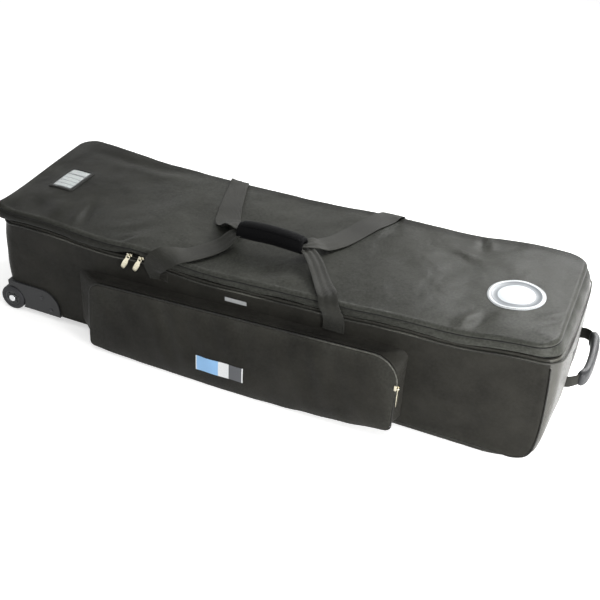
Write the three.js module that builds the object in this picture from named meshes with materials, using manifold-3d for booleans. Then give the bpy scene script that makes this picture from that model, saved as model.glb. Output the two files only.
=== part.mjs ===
// Padded drum hardware case on two wheels: a long nylon tub with a zipped lid, a zipped front pocket,
// two webbing carry loops held by one padded grip, and a padded handle on the end without wheels.
// Millimetres, +Z up. X runs along the case from the wheel end (-X) to the handle end (+X).
// The front, with the pocket, faces -Y. Inside the group Z = 0 is the underside of the tub; the group
// is then moved so that the origin is on the ground at the middle of the case's overall footprint.

import * as THREE from "three";
import { mergeVertices } from "three/addons/utils/BufferGeometryUtils.js";
import Module from "manifold-3d";

const wasm = await Module();
wasm.setup();

const { PI, abs, acos, atan, cos, floor, hypot, max, min, sign, sin, tan } = Math;
const degree = PI / 180;
const quarterTurn = PI / 2;

// Sizes of the tub
const baseLength = 1204;
const baseWidth = 352;
const rimAtWheelEnd = 222;
const rimAtHandleEnd = 237;
const rimSag = 7;
const wallThickness = 8;
const bottomEndRadius = 32;
const cornerRadiusAtBottom = 12;
const cornerRadiusAtRim = 36;
const endBulge = 15;
const bulgeFullnessShare = 0.6;
const wheelEndTuck = 9;
const wheelEndTuckTop = 112;
const groundClearance = 15;

// Gaps between pieces
const seamGap = 0.3;
const runningGap = 0.4;
const cutOverrun = 5;

// Stiffener boards inside the tub
const boardThickness = 3;
const boardMargin = 6;
const endBoardHeight = 120;
const endBoardWidth = 240;

// Lid
const lidWheelEndOverhang = 12;
const lidHandleEndOverhang = 6;
const lidSideOverhang = 5;
const lidCornerRadius = 46;
const lidPanelThickness = 9;
const lidSkirtHeight = 20;
const lidSkirtInset = 9;
const lidMiddleSag = 5;
const lidCrown = 4;
const lidEdgeRadius = 6;

// Main zip, recessed between the tub's rim and the lid's skirt
const zipOpening = 15;
const zipInset = 7;
const tapeThickness = 1.2;
const tapeHeight = 4.6;
const chainThickness = 2.8;
const chainHalfHeight = 2.1;

// Piping sewn into the seams
const pipingRadius = 1.7;
const rimPipingDrop = 6;

// Fabric hinge along the back
const hingeTapeLow = 3;
const hingeTapeBend = 4.5;
const hingeTapeRise = 3;
const hingeTapeEndMargin = 46;

// Zip sliders and their pull tabs
const sliderHeight = 8;
const sliderWidth = 12;
const sliderProud = 3.6;
const crownWidth = 2.4;
const crownHeight = 8;
const crownReach = 5.2;
const crownBar = 1.7;
const crownChamfer = 1.3;
const pullThickness = 1.4;
const pullWidth = 9;
const pullLength = 37;
const pullBar = 1.4;
const pullSlotWidth = 5.4;
const pullSlotLength = 6.2;
const pullSlant = 20 * degree;
const leftSliderFromLoop = 70;
const rightSliderFromLoop = 42;

// Front pocket
const pocketWheelEndInset = 184;
const pocketLength = 750;
const pocketTopAtWheelSide = 150;
const pocketTopAtHandleSide = 183;
const pocketBottom = 7;
const pocketFaceDrop = 3;
const pocketDepth = 40;
const pocketWheelSideTaper = 62;
const pocketHandleSideTaper = 6;
const pocketRootRadius = 14;
const pocketTopRadius = 55;
const pocketSmallRadius = 24;
const gussetThickness = 4;
const pocketZipDepth = 8;
const pocketZipInset = 3;
const pocketZipThickness = 3;
const pocketFaceThickness = 4;
const pocketCrown = 7;
const pocketPullLength = 46;
const pocketSliderDepth = 6.6;
const pocketSliderLength = 12;

// Wheels and their housings
const wheelRadius = 30;
const wheelWidth = 24;
const wheelAxleInset = 2;
const wheelFaceProud = 6;
const wheelWellGap = 3.5;
const hubRadius = 19;
const hubBore = 4.3;
const axleRadius = 4;
const axleCapRadius = 8;
const axleCapHeight = 3;
const axleCheekDepth = 14;
const housingLength = 128;
const housingHeight = 62;
const housingCornerRadius = 46;
const housingProud = 3.5;
const housingDepth = 66;
const housingBelow = 2;
const housingEndProud = 5;
const housingScrewRadius = 4;
const housingScrewHeight = 1.6;

// Feet under the handle end
const footLength = 70;
const footWidth = 28;
const footEndInset = 87;
const footSideInset = 58;
const footRadius = 9;
const footTaper = 3;

// Carry loops and the padded grip that holds them together
const webbingWidth = 50;
const webbingThickness = 2.2;
const loopWheelSideX = -214;
const loopHandleSideX = 176;
const loopFootTop = 206;
const loopFootLength = 26;
const loopSeamThickness = 1;
const loopStandOff = 12;
const loopLidGap = 3;
const loopLayerStep = 5;
const lidEdgeShare = 0.12;
const lidRiseShare = 0.5;
const lidNearGripShare = 0.82;
const gripLength = 140;
const gripX = -7;
const gripY = -65;
const gripRadius = 21;
const gripLift = 3;
const gripFoldShare = 0.6;
const gripBoreHeight = 14;
const gripLeadLength = 14;
const gripStackGap = 1.8;

// Padded handle on the end
const endHandleZ = 144;
const endHandleSpan = 164;
const endHandleReach = 24;
const endHandleWebbing = 25;
const endHandleWebbingThickness = 3;
const endHandlePadWidth = 30;
const endHandlePadThickness = 13;
const endHandlePadShare = 0.6;
const endPatchHeight = 40;
const endPatchMargin = 24;
const endPatchThickness = 2;
const endRootGap = 1;
const endShoulderShare = 0.7;
const endWaistShare = 0.93;
const endTurnShare = 0.55;

// Window for a name card, round patch and bare tags
const windowEndInset = 75;
const windowY = -15;
const windowLength = 62;
const windowWidth = 100;
const windowFrame = 7;
const windowFrameThickness = 1.6;
const windowSheetThickness = 0.8;
const cardMargin = 3;
const cardThickness = 0.6;
const patchEndInset = 109;
const patchY = -33;
const patchRadius = 56;
const patchThickness = 2;
const frontTagX = -38;
const frontTagZ = 181;
const frontTagLength = 48;
const frontTagHeight = 9;
const pocketLabelX = -46;
const pocketLabelZ = 44;
const pocketLabelLength = 108;
const pocketLabelHeight = 34;
const tagThickness = 1;

// Fineness of the faceted surfaces
const sideSteps = 10;
const endSteps = 4;
const cornerSteps = 4;
const levelSteps = 4;
const arcSteps = 3;
const wheelSteps = 24;
const tubeSides = 6;
const pocketSideSteps = 6;
const loopStepsPerStation = 3;
const swellShares = [0.3, 0.6, 0.85];

// Finishes
const finish = (color, roughness, metalness = 0) => ({ color, roughness, metalness });
const finishes = {
  nylon: finish("#2c2d2a", 0.8),
  lidNylon: finish("#4a4b46", 0.7),
  piping: finish("#1d1d1c", 0.6),
  tape: finish("#191918", 0.9),
  chain: finish("#222221", 0.5),
  nickel: finish("#c9c3ad", 0.35, 1),
  housing: finish("#3a3b3e", 0.5),
  rubber: finish("#1b1b1c", 0.85),
  hub: finish("#56575a", 0.45),
  cap: finish("#d5d6d8", 0.25, 1),
  webbing: finish("#333430", 0.85),
  pad: finish("#202124", 0.6),
  board: finish("#242424", 0.7),
  window: finish("#9aa0a4", 0.15),
  card: finish("#eeeeea", 0.8),
  patch: finish("#d8dadb", 0.5),
  tag: finish("#c8cacb", 0.7),
  label: finish("#8fb3d6", 0.6),
};

const halfLength = baseLength / 2;
const halfWidth = baseWidth / 2;

// Places measured from the case's ends and sides, and of the sliders from the loop beside them
const wheelX = -halfLength + wheelAxleInset;
const footX = halfLength - footEndInset;
const footY = halfWidth - footSideInset;
const leftSliderX = loopWheelSideX - leftSliderFromLoop;
const rightSliderX = loopWheelSideX - rightSliderFromLoop;
const pocketWheelSideX = -halfLength + pocketWheelEndInset;
const pocketHandleSideX = pocketWheelSideX + pocketLength;
const windowX = -halfLength + windowEndInset;
const patchX = halfLength - patchEndInset;

// The part and its pieces
const part = new THREE.Group();

function addPiece(name, geometry, look) {
  const mesh = new THREE.Mesh(geometry, new THREE.MeshStandardMaterial(look));
  mesh.name = name;
  part.add(mesh);
}

// Closed solids from grids of points

// Joins triangles into a geometry whose faces point outwards, whichever way round the grid was walked.
function closedGeometry(positions) {
  const point = (start) => new THREE.Vector3(positions[start], positions[start + 1], positions[start + 2]);
  let sixVolumes = 0;
  for (let i = 0; i < positions.length; i += 9) {
    sixVolumes += point(i).dot(point(i + 3).cross(point(i + 6)));
  }
  if (sixVolumes < 0) {
    for (let i = 0; i < positions.length; i += 9) {
      for (let k = 0; k < 3; k++) {
        [positions[i + 3 + k], positions[i + 6 + k]] = [positions[i + 6 + k], positions[i + 3 + k]];
      }
    }
  }
  const geometry = new THREE.BufferGeometry();
  geometry.setAttribute("position", new THREE.Float32BufferAttribute(positions, 3));
  geometry.computeVertexNormals();
  return geometry;
}

function pushTriangle(positions, a, b, c) {
  positions.push(a.x, a.y, a.z, b.x, b.y, b.z, c.x, c.y, c.z);
}

function pushQuad(positions, a, b, c, d) {
  pushTriangle(positions, a, b, c);
  pushTriangle(positions, a, c, d);
}

// A sheet between two grids of the same size, grid[i][j]. A wrapped slab closes on itself along i.
function slab(outer, inner, wrapped = false) {
  const positions = [];
  const rows = outer.length;
  const last = outer[0].length - 1;
  for (let i = 0; i < (wrapped ? rows : rows - 1); i++) {
    const next = (i + 1) % rows;
    for (let j = 0; j < last; j++) {
      pushQuad(positions, outer[i][j], outer[next][j], outer[next][j + 1], outer[i][j + 1]);
      pushQuad(positions, inner[i][j], inner[i][j + 1], inner[next][j + 1], inner[next][j]);
    }
    pushQuad(positions, inner[i][0], inner[next][0], outer[next][0], outer[i][0]);
    pushQuad(positions, outer[i][last], outer[next][last], inner[next][last], inner[i][last]);
  }
  if (!wrapped) {
    const end = rows - 1;
    for (let j = 0; j < last; j++) {
      pushQuad(positions, outer[0][j], outer[0][j + 1], inner[0][j + 1], inner[0][j]);
      pushQuad(positions, inner[end][j], inner[end][j + 1], outer[end][j + 1], outer[end][j]);
    }
  }
  return closedGeometry(positions);
}

// A solid through closed rings of points. It closes on itself, or ends in fans round the rings' middles.
function loft(rings, closed = false) {
  const positions = [];
  const count = rings[0].length;
  for (let k = 0; k < (closed ? rings.length : rings.length - 1); k++) {
    const ring = rings[k];
    const after = rings[(k + 1) % rings.length];
    for (let i = 0; i < count; i++) {
      const next = (i + 1) % count;
      pushQuad(positions, ring[i], ring[next], after[next], after[i]);
    }
  }
  if (closed) return closedGeometry(positions);
  const middle = (ring) =>
    ring.reduce((sum, p) => sum.add(p), new THREE.Vector3()).divideScalar(ring.length);
  const first = rings[0];
  const final = rings[rings.length - 1];
  const firstMiddle = middle(first);
  const finalMiddle = middle(final);
  for (let i = 0; i < count; i++) {
    const next = (i + 1) % count;
    pushTriangle(positions, firstMiddle, first[next], first[i]);
    pushTriangle(positions, finalMiddle, final[i], final[next]);
  }
  return closedGeometry(positions);
}

// A flat band of a given width and thickness along points, each with the direction across the band.
function ribbon(points, acrosses, widths, thickness) {
  const top = [];
  const bottom = [];
  for (let i = 0; i < points.length; i++) {
    const before = points[max(i - 1, 0)];
    const after = points[min(i + 1, points.length - 1)];
    const along = after.clone().sub(before).normalize();
    const normal = acrosses[i].clone().cross(along).normalize().multiplyScalar(thickness / 2);
    const reach = acrosses[i].clone().multiplyScalar(widths[i] / 2);
    const corner = (side, face) =>
      points[i].clone().addScaledVector(reach, side).addScaledVector(normal, face);
    top.push([corner(-1, 1), corner(1, 1)]);
    bottom.push([corner(-1, -1), corner(1, -1)]);
  }
  return slab(top, bottom);
}

// Joins and cuts

function toSolid(geometry) {
  const bare = geometry.clone();
  for (const name of Object.keys(bare.attributes)) {
    if (name !== "position") bare.deleteAttribute(name);
  }
  const merged = mergeVertices(bare, seamGap / 1000);
  return new wasm.Manifold(
    new wasm.Mesh({
      numProp: 3,
      vertProperties: merged.attributes.position.array,
      triVerts: new Uint32Array(merged.index.array),
    }),
  );
}

function fromSolid(solid) {
  const mesh = solid.getMesh();
  const geometry = new THREE.BufferGeometry();
  geometry.setAttribute("position", new THREE.BufferAttribute(mesh.vertProperties, 3));
  geometry.setIndex(new THREE.BufferAttribute(mesh.triVerts, 1));
  geometry.computeVertexNormals();
  return geometry;
}

function cut(geometry, ...tools) {
  let solid = toSolid(geometry);
  for (const tool of tools) solid = solid.subtract(toSolid(tool));
  return fromSolid(solid);
}

function join(geometry, ...others) {
  let solid = toSolid(geometry);
  for (const other of others) solid = solid.add(toSolid(other));
  return fromSolid(solid);
}

// Heights along the case

const lerp = (from, to, share) => from + (to - from) * share;
const shareAlong = (x) => x / baseLength + 0.5;
const sagShareAt = (x) => 1 - (x / halfLength) ** 2;
const rimAt = (x) => lerp(rimAtWheelEnd, rimAtHandleEnd, shareAlong(x)) - rimSag * sagShareAt(x);
const skirtBottomAt = (x) => rimAt(x) + zipOpening;
const lidTopAt = (x) => skirtBottomAt(x) + lidSkirtHeight - lidMiddleSag * sagShareAt(x);

// Outlines

// A rounded rectangle seen from above, split where its corners begin: front, handle end, rear, wheel end.
// Each end carries the two corners beside it. Neighbouring sections share their meeting point.
function planOutline(wheelHalf, handleHalf, half, radius) {
  const corner = (centreX, centreY, from) =>
    Array.from({ length: cornerSteps + 1 }, (_, k) => {
      const angle = from + (quarterTurn * k) / cornerSteps;
      return new THREE.Vector2(centreX + radius * cos(angle), centreY + radius * sin(angle));
    });
  const between = (a, b, steps) =>
    Array.from({ length: steps + 1 }, (_, k) => a.clone().lerp(b, k / steps));
  const frontRight = corner(handleHalf - radius, radius - half, -quarterTurn);
  const rearRight = corner(handleHalf - radius, half - radius, 0);
  const rearLeft = corner(radius - wheelHalf, half - radius, quarterTurn);
  const frontLeft = corner(radius - wheelHalf, radius - half, 2 * quarterTurn);
  const end = (a, b) => [...a, ...between(a[cornerSteps], b[0], endSteps).slice(1, -1), ...b];
  return {
    front: between(frontLeft[cornerSteps], frontRight[0], sideSteps),
    handleEnd: end(frontRight, rearRight),
    rear: between(rearRight[cornerSteps], rearLeft[0], sideSteps),
    wheelEnd: end(rearLeft, frontLeft),
  };
}

function closedOutline(sections) {
  const { front, handleEnd, rear, wheelEnd } = sections;
  return [front, handleEnd, rear, wheelEnd].flatMap((section) => section.slice(0, -1));
}

// The tub's plan at a height, drawn in by an inset, with the wheel end tucked in near the ground.
function tubPlan(height, inset, endHalf) {
  const tuckShare = max(0, 1 - height / wheelEndTuckTop);
  const radius = lerp(cornerRadiusAtBottom, cornerRadiusAtRim, min(1, height / rimAtWheelEnd)) - inset;
  return planOutline(endHalf - wheelEndTuck * tuckShare, endHalf, halfWidth - inset, radius);
}

// The bulge that padding gives an end, nothing at its corners, its rim and its underside.
function bulgeAt(y, z, rim) {
  const heightShare = min(1, max(0, z / rim));
  return endBulge * max(0, 1 - (y / halfWidth) ** 2) * max(0, sin(PI * heightShare)) ** bulgeFullnessShare;
}

// Points of one section of the tub's wall at every level, from the underside, round the bottom radius
// and up to the rim. The wall may stand above the rim by an extra height.
function wallGrid(section, inset, extraHeight) {
  const levels = [];
  for (let k = 0; k < arcSteps; k++) {
    const angle = (quarterTurn * k) / arcSteps;
    const radius = bottomEndRadius - inset;
    const z = inset + radius * (1 - cos(angle));
    const endHalf = halfLength - bottomEndRadius + radius * sin(angle);
    levels.push({ plan: tubPlan(z, inset, endHalf)[section], heightOf: () => z });
  }
  for (let k = 0; k <= levelSteps; k++) {
    const share = k / levelSteps;
    const nominal = lerp(bottomEndRadius, rimAtWheelEnd, share);
    const plan = tubPlan(nominal, inset, halfLength - inset)[section];
    levels.push({ plan, heightOf: (x) => lerp(bottomEndRadius, rimAt(x), share) });
  }
  const { plan: rimSection } = levels[levels.length - 1];
  if (extraHeight > 0) levels.push({ plan: rimSection, heightOf: (x) => rimAt(x) + extraHeight });
  return levels[0].plan.map((_, i) =>
    levels.map(({ plan, heightOf }) => {
      const { x, y } = plan[i];
      const z = heightOf(x);
      const outward = section === "handleEnd" ? 1 : section === "wheelEnd" ? -1 : 0;
      return new THREE.Vector3(x + outward * bulgeAt(y, z, rimAt(x)), y, z);
    }),
  );
}

// Draws the two ends of a side wall in by the seam gap, so that it clears the end walls.
function trimEnds(grid) {
  for (const row of [grid[0], grid[grid.length - 1]]) {
    for (const point of row) point.x -= sign(point.x) * seamGap;
  }
  return grid;
}

// Wheel housings

// The housing's side view, with one big rounded corner, grown by a clearance.
function housingOutline(clearance) {
  const left = -halfLength - housingEndProud - clearance;
  const right = -halfLength + housingLength + clearance;
  const top = housingHeight + clearance;
  const bottom = -housingBelow - clearance;
  const radius = housingCornerRadius;
  const shape = new THREE.Shape();
  shape.moveTo(left, bottom);
  shape.lineTo(right, bottom);
  shape.lineTo(right, top - radius);
  shape.absarc(right - radius, top - radius, radius, 0, quarterTurn, false);
  shape.lineTo(left, top);
  shape.closePath();
  return shape;
}

// A shape drawn in X and Z, extruded along Y from one value to another.
function extrudeAlongY(shape, fromY, toY, curveSegments = 2 * cornerSteps) {
  const depth = toY - fromY;
  const geometry = new THREE.ExtrudeGeometry(shape, { depth, bevelEnabled: false, curveSegments });
  return geometry.rotateX(quarterTurn).translate(0, toY, 0);
}

// A turned solid about an axis along Y, from a closed profile of [radius, y] points.
function turnedAlongY(profile, x, z, steps = wheelSteps) {
  const points = profile.map(([radius, y]) => new THREE.Vector2(radius, y));
  const turned = new THREE.LatheGeometry(points, steps).toNonIndexed().translate(x, 0, z);
  return closedGeometry(Array.from(turned.attributes.position.array));
}

const wheelZ = wheelRadius - groundClearance;
const wheelFaceY = halfWidth + wheelFaceProud;
const wheelBackY = wheelFaceY - wheelWidth;
const housingFaceY = halfWidth + housingProud;
const housingBackY = housingFaceY - housingDepth;
const wellBackY = wheelBackY - wheelWellGap;
const axleEndY = wellBackY - axleCheekDepth;

// Everything beside the ground is built for the front and mirrored to the rear.
const sides = { front: false, rear: true };

function onSide(geometry, mirrored) {
  if (!mirrored) return geometry;
  const loose = geometry.index ? geometry.toNonIndexed() : geometry.clone();
  loose.scale(1, -1, 1);
  return closedGeometry(Array.from(loose.attributes.position.array));
}

function turnedAtWheel(profile) {
  return turnedAlongY(profile.map(([radius, y]) => [radius, -y]), wheelX, wheelZ);
}

function cylinderAtWheel(radius, nearY, farY) {
  return turnedAtWheel([[0, nearY], [radius, nearY], [radius, farY], [0, farY]]);
}

const housingSpace = extrudeAlongY(
  housingOutline(seamGap), -housingFaceY - cutOverrun, -housingBackY + seamGap,
);
const housingSpaces = Object.values(sides).map((mirrored) => onSide(housingSpace, mirrored));

for (const [name, mirrored] of Object.entries(sides)) {
  const block = extrudeAlongY(housingOutline(0), -housingFaceY, -housingBackY);
  const well = cylinderAtWheel(wheelRadius + wheelWellGap, wellBackY, wheelFaceY + cutOverrun);
  const bore = cylinderAtWheel(axleRadius + seamGap, axleEndY - seamGap, wheelFaceY);
  addPiece(`wheel_housing_${name}`, onSide(cut(block, well, bore), mirrored), finishes.housing);

  const tyre = turnedAtWheel([
    [hubRadius + seamGap, wheelBackY],
    [wheelRadius - housingBelow, wheelBackY],
    [wheelRadius, wheelBackY + housingBelow],
    [wheelRadius, wheelFaceY - housingBelow],
    [wheelRadius - housingBelow, wheelFaceY],
    [hubRadius + seamGap, wheelFaceY],
    [hubRadius + seamGap, wheelBackY],
  ]);
  addPiece(`tyre_${name}`, onSide(tyre, mirrored), finishes.rubber);

  const hub = turnedAtWheel([
    [hubBore, wheelBackY],
    [hubRadius, wheelBackY],
    [hubRadius, wheelFaceY],
    [hubBore, wheelFaceY],
    [hubBore, wheelBackY],
  ]);
  addPiece(`wheel_hub_${name}`, onSide(hub, mirrored), finishes.hub);

  const capY = wheelFaceY + runningGap;
  const axle = turnedAtWheel([
    [0, axleEndY],
    [axleRadius, axleEndY],
    [axleRadius, capY],
    [axleCapRadius, capY],
    [axleCapRadius, capY + axleCapHeight / 2],
    [axleCapRadius / 2, capY + axleCapHeight],
    [0, capY + axleCapHeight],
  ]);
  addPiece(`axle_${name}`, onSide(axle, mirrored), finishes.cap);

  const screwPlaces = [
    [-halfLength + housingLength - housingCornerRadius, housingHeight - housingCornerRadius / 2],
    [-halfLength + housingLength - housingCornerRadius / 2, housingCornerRadius / 4],
  ];
  screwPlaces.forEach(([x, z], index) => {
    const screwY = housingFaceY + seamGap;
    const screw = turnedAlongY(
      [
        [0, -screwY],
        [housingScrewRadius, -screwY],
        [housingScrewRadius / 2, -screwY - housingScrewHeight],
        [0, -screwY - housingScrewHeight],
      ],
      x,
      z,
      2 * tubeSides,
    );
    addPiece(`housing_screw_${name}_${index + 1}`, onSide(screw, mirrored), finishes.nickel);
  });
}

// Tub walls, floor and stiffener boards

function tubWall(section, extraHeight = 0) {
  const outer = wallGrid(section, 0, extraHeight);
  const inner = wallGrid(section, wallThickness, extraHeight);
  if (section === "front" || section === "rear") {
    trimEnds(outer);
    trimEnds(inner);
  }
  return slab(outer, inner);
}

addPiece("front_wall", cut(tubWall("front"), ...housingSpaces), finishes.nylon);
addPiece("rear_wall", cut(tubWall("rear", zipOpening - seamGap), ...housingSpaces), finishes.nylon);
addPiece("wheel_end_wall", cut(tubWall("wheelEnd"), ...housingSpaces), finishes.nylon);
addPiece("handle_end_wall", tubWall("handleEnd"), finishes.nylon);

// A flat plate between two heights over a plan.
function plate(sections, low, high) {
  const ring = closedOutline(sections);
  return loft([low, high].map((z) => ring.map(({ x, y }) => new THREE.Vector3(x, y, z))));
}

const floorEnd = halfLength - bottomEndRadius - seamGap;
const floorHalfWidth = halfWidth - wallThickness - seamGap;
const floorPlan = planOutline(
  floorEnd - wheelEndTuck, floorEnd, floorHalfWidth, cornerRadiusAtBottom - wallThickness,
);
addPiece("floor_panel", cut(plate(floorPlan, 0, wallThickness), ...housingSpaces), finishes.nylon);

const boardEnd = floorEnd - boardMargin;
const boardPlan = planOutline(
  boardEnd - wheelEndTuck, boardEnd, floorHalfWidth - boardMargin, cornerRadiusAtBottom,
);
const boardBottom = wallThickness + seamGap;
const boardTop = boardBottom + boardThickness;
addPiece("floor_board", cut(plate(boardPlan, boardBottom, boardTop), ...housingSpaces), finishes.board);

function endBoard(outward) {
  const x = outward * (halfLength - wallThickness - boardMargin - boardThickness);
  const low = housingHeight + boardMargin;
  const board = new THREE.BoxGeometry(boardThickness, endBoardWidth, endBoardHeight);
  return board.translate(x, 0, low + endBoardHeight / 2);
}

addPiece("wheel_end_board", endBoard(-1), finishes.board);
addPiece("handle_end_board", endBoard(1), finishes.board);

// Feet under the handle end

for (const [name, mirrored] of Object.entries(sides)) {
  const ringAt = (inset, z) => {
    const half = footLength / 2 - inset;
    const plan = planOutline(half, half, footWidth / 2 - inset, footRadius - inset);
    return closedOutline(plan).map(({ x, y }) => new THREE.Vector3(x + footX, y - footY, z));
  };
  const foot = loft([
    ringAt(footTaper, -groundClearance),
    ringAt(0, -groundClearance / 2),
    ringAt(0, -seamGap),
  ]);
  addPiece(`foot_${name}`, onSide(foot, mirrored), finishes.rubber);
}

// Piping

// A round cord through points. It stays square to one direction, and may close on itself.
function cord(points, square, closed) {
  const last = points.length - 1;
  const rings = points.map((point, i) => {
    const before = points[i === 0 ? (closed ? last : 0) : i - 1];
    const after = points[i === last ? (closed ? 0 : last) : i + 1];
    const along = after.clone().sub(before).normalize();
    const across = along.clone().cross(square).normalize();
    const other = across.clone().cross(along);
    return Array.from({ length: tubeSides }, (_, k) => {
      const angle = (2 * PI * k) / tubeSides;
      return point
        .clone()
        .addScaledVector(across, pipingRadius * cos(angle))
        .addScaledVector(other, pipingRadius * sin(angle));
    });
  });
  return loft(rings, closed);
}

const up = new THREE.Vector3(0, 0, 1);
const acrossCase = new THREE.Vector3(0, 1, 0);
const pipingOut = pipingRadius + 2 * seamGap;

const rimPlan = (inset) =>
  planOutline(halfLength - inset, halfLength - inset, halfWidth - inset, cornerRadiusAtRim - inset);

// Both ends keep a little of their bulge at the piping's height.
const rimPipingPoints = closedOutline(rimPlan(-pipingOut)).map(({ x, y }) => {
  const z = rimAt(x) - rimPipingDrop;
  return new THREE.Vector3(x + sign(x) * bulgeAt(y, z, rimAt(x)), y, z);
});
addPiece("rim_piping", cord(rimPipingPoints, up, true), finishes.piping);

// Piping round a side panel: down the handle end's corner, round the bottom and along to the wheel housing.
const cornerPipingLow = pipingRadius;
const sidePanelEnd = halfLength - cornerRadiusAtBottom;
const sidePipingY = halfWidth + pipingOut;
const bottomArc = Array.from({ length: 2 * arcSteps + 1 }, (_, k) => {
  const angle = (quarterTurn * k) / (2 * arcSteps);
  const radius = bottomEndRadius - cornerPipingLow;
  return new THREE.Vector3(
    sidePanelEnd - bottomEndRadius + radius * cos(angle),
    -sidePipingY,
    bottomEndRadius - radius * sin(angle),
  );
});
const cornerTop = rimAtHandleEnd - 3 * rimPipingDrop;
const sidePipingPoints = [
  new THREE.Vector3(halfLength - cornerRadiusAtRim, -sidePipingY, cornerTop),
  ...bottomArc,
  new THREE.Vector3(0, -sidePipingY, cornerPipingLow),
  new THREE.Vector3(-halfLength + housingLength + 2 * pipingRadius, -sidePipingY, cornerPipingLow),
];
for (const [name, mirrored] of Object.entries(sides)) {
  const piping = cord(sidePipingPoints, acrossCase, false);
  addPiece(`${name}_panel_piping`, onSide(piping, mirrored), finishes.piping);
}

// Lid

function lidPlan(inset) {
  return planOutline(
    halfLength + lidWheelEndOverhang - inset,
    halfLength + lidHandleEndOverhang - inset,
    halfWidth + lidSideOverhang - inset,
    lidCornerRadius - inset,
  );
}

const lidSurfaceAt = (x, y) => lidTopAt(x) + lidCrown * max(0, 1 - (y / halfWidth) ** 2);

const ringOver = (plan, heightOf) =>
  closedOutline(plan).map(({ x, y }) => new THREE.Vector3(x, y, heightOf(x)));

const lidShareRing = (share, drop) =>
  closedOutline(lidPlan(lidEdgeRadius)).map(
    ({ x, y }) => new THREE.Vector3(x * share, y * share, lidSurfaceAt(x * share, y * share) - drop),
  );

const lidUnderside = (x) => lidTopAt(x) - lidPanelThickness;
const lidEdgeTurn = lidEdgeRadius * (1 - cos(quarterTurn / 2));
const lidPanel = loft([
  ...swellShares.map((share) => lidShareRing(share, lidPanelThickness)),
  ringOver(rimPlan(lidSkirtInset), lidUnderside),
  ringOver(lidPlan(0), lidUnderside),
  ringOver(lidPlan(0), (x) => lidTopAt(x) - lidEdgeRadius),
  ringOver(lidPlan(lidEdgeTurn), (x) => lidTopAt(x) - lidEdgeTurn),
  ringOver(lidPlan(lidEdgeRadius), lidTopAt),
  ...swellShares.toReversed().map((share) => lidShareRing(share, 0)),
]);
addPiece("lid_panel", lidPanel, finishes.lidNylon);

// A wall that follows a plan between two heights, closed round the case or open along the back.
function skirt(outerPlan, innerPlan, lowOf, highOf, wrapped) {
  const ringOf = (plan) =>
    wrapped
      ? closedOutline(plan)
      : [...plan.wheelEnd, ...plan.front.slice(1), ...plan.handleEnd.slice(1)];
  const grid = (plan) =>
    ringOf(plan).map(({ x, y }) => [lowOf(x), highOf(x)].map((z) => new THREE.Vector3(x, y, z)));
  return slab(grid(outerPlan), grid(innerPlan), wrapped);
}

const skirtTopAt = (x) => lidUnderside(x) - seamGap;
addPiece(
  "lid_skirt",
  skirt(lidPlan(0), rimPlan(lidSkirtInset), skirtBottomAt, skirtTopAt, true),
  finishes.lidNylon,
);

const lidPipingPoints = closedOutline(lidPlan(-pipingOut)).map(
  ({ x, y }) => new THREE.Vector3(x, y, lidUnderside(x)),
);
addPiece("lid_piping", cord(lidPipingPoints, up, true), finishes.piping);

// Main zip on three sides

function zipBand(name, inset, thickness, from, height, look) {
  const low = (x) => rimAt(x) + from;
  const high = (x) => low(x) + height;
  addPiece(name, skirt(rimPlan(inset), rimPlan(inset + thickness), low, high, false), look);
}

const chainInset = zipInset - (chainThickness - tapeThickness) / 2;
const chainLow = seamGap + tapeHeight + seamGap;
const chainUpperLow = chainLow + chainHalfHeight + seamGap;
const tapeUpperLow = chainUpperLow + chainHalfHeight + seamGap;
zipBand("tub_zip_tape", zipInset, tapeThickness, seamGap, tapeHeight, finishes.tape);
zipBand("tub_zip_teeth", chainInset, chainThickness, chainLow, chainHalfHeight, finishes.chain);
zipBand("lid_zip_teeth", chainInset, chainThickness, chainUpperLow, chainHalfHeight, finishes.chain);
zipBand(
  "lid_zip_tape", zipInset, tapeThickness, tapeUpperLow, zipOpening - seamGap - tapeUpperLow, finishes.tape,
);

// Fabric hinge: a strip over the joint between the rear wall and the lid's skirt.
const hingeLevels = [
  { y: halfWidth + seamGap, z: hingeTapeLow },
  { y: halfWidth + seamGap, z: zipOpening - hingeTapeBend },
  { y: halfWidth + lidSideOverhang + seamGap, z: zipOpening - seamGap },
  { y: halfWidth + lidSideOverhang + seamGap, z: zipOpening + hingeTapeRise },
];
const hingeEnd = halfLength - hingeTapeEndMargin;
const hingeGrid = (out) =>
  Array.from({ length: sideSteps + 1 }, (_, i) => {
    const x = lerp(-hingeEnd, hingeEnd, i / sideSteps);
    return hingeLevels.map(({ y, z }) => new THREE.Vector3(x, y + out, rimAt(x) + z));
  });
addPiece("lid_hinge_tape", slab(hingeGrid(tapeThickness), hingeGrid(0)), finishes.tape);

// Zip sliders

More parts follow.
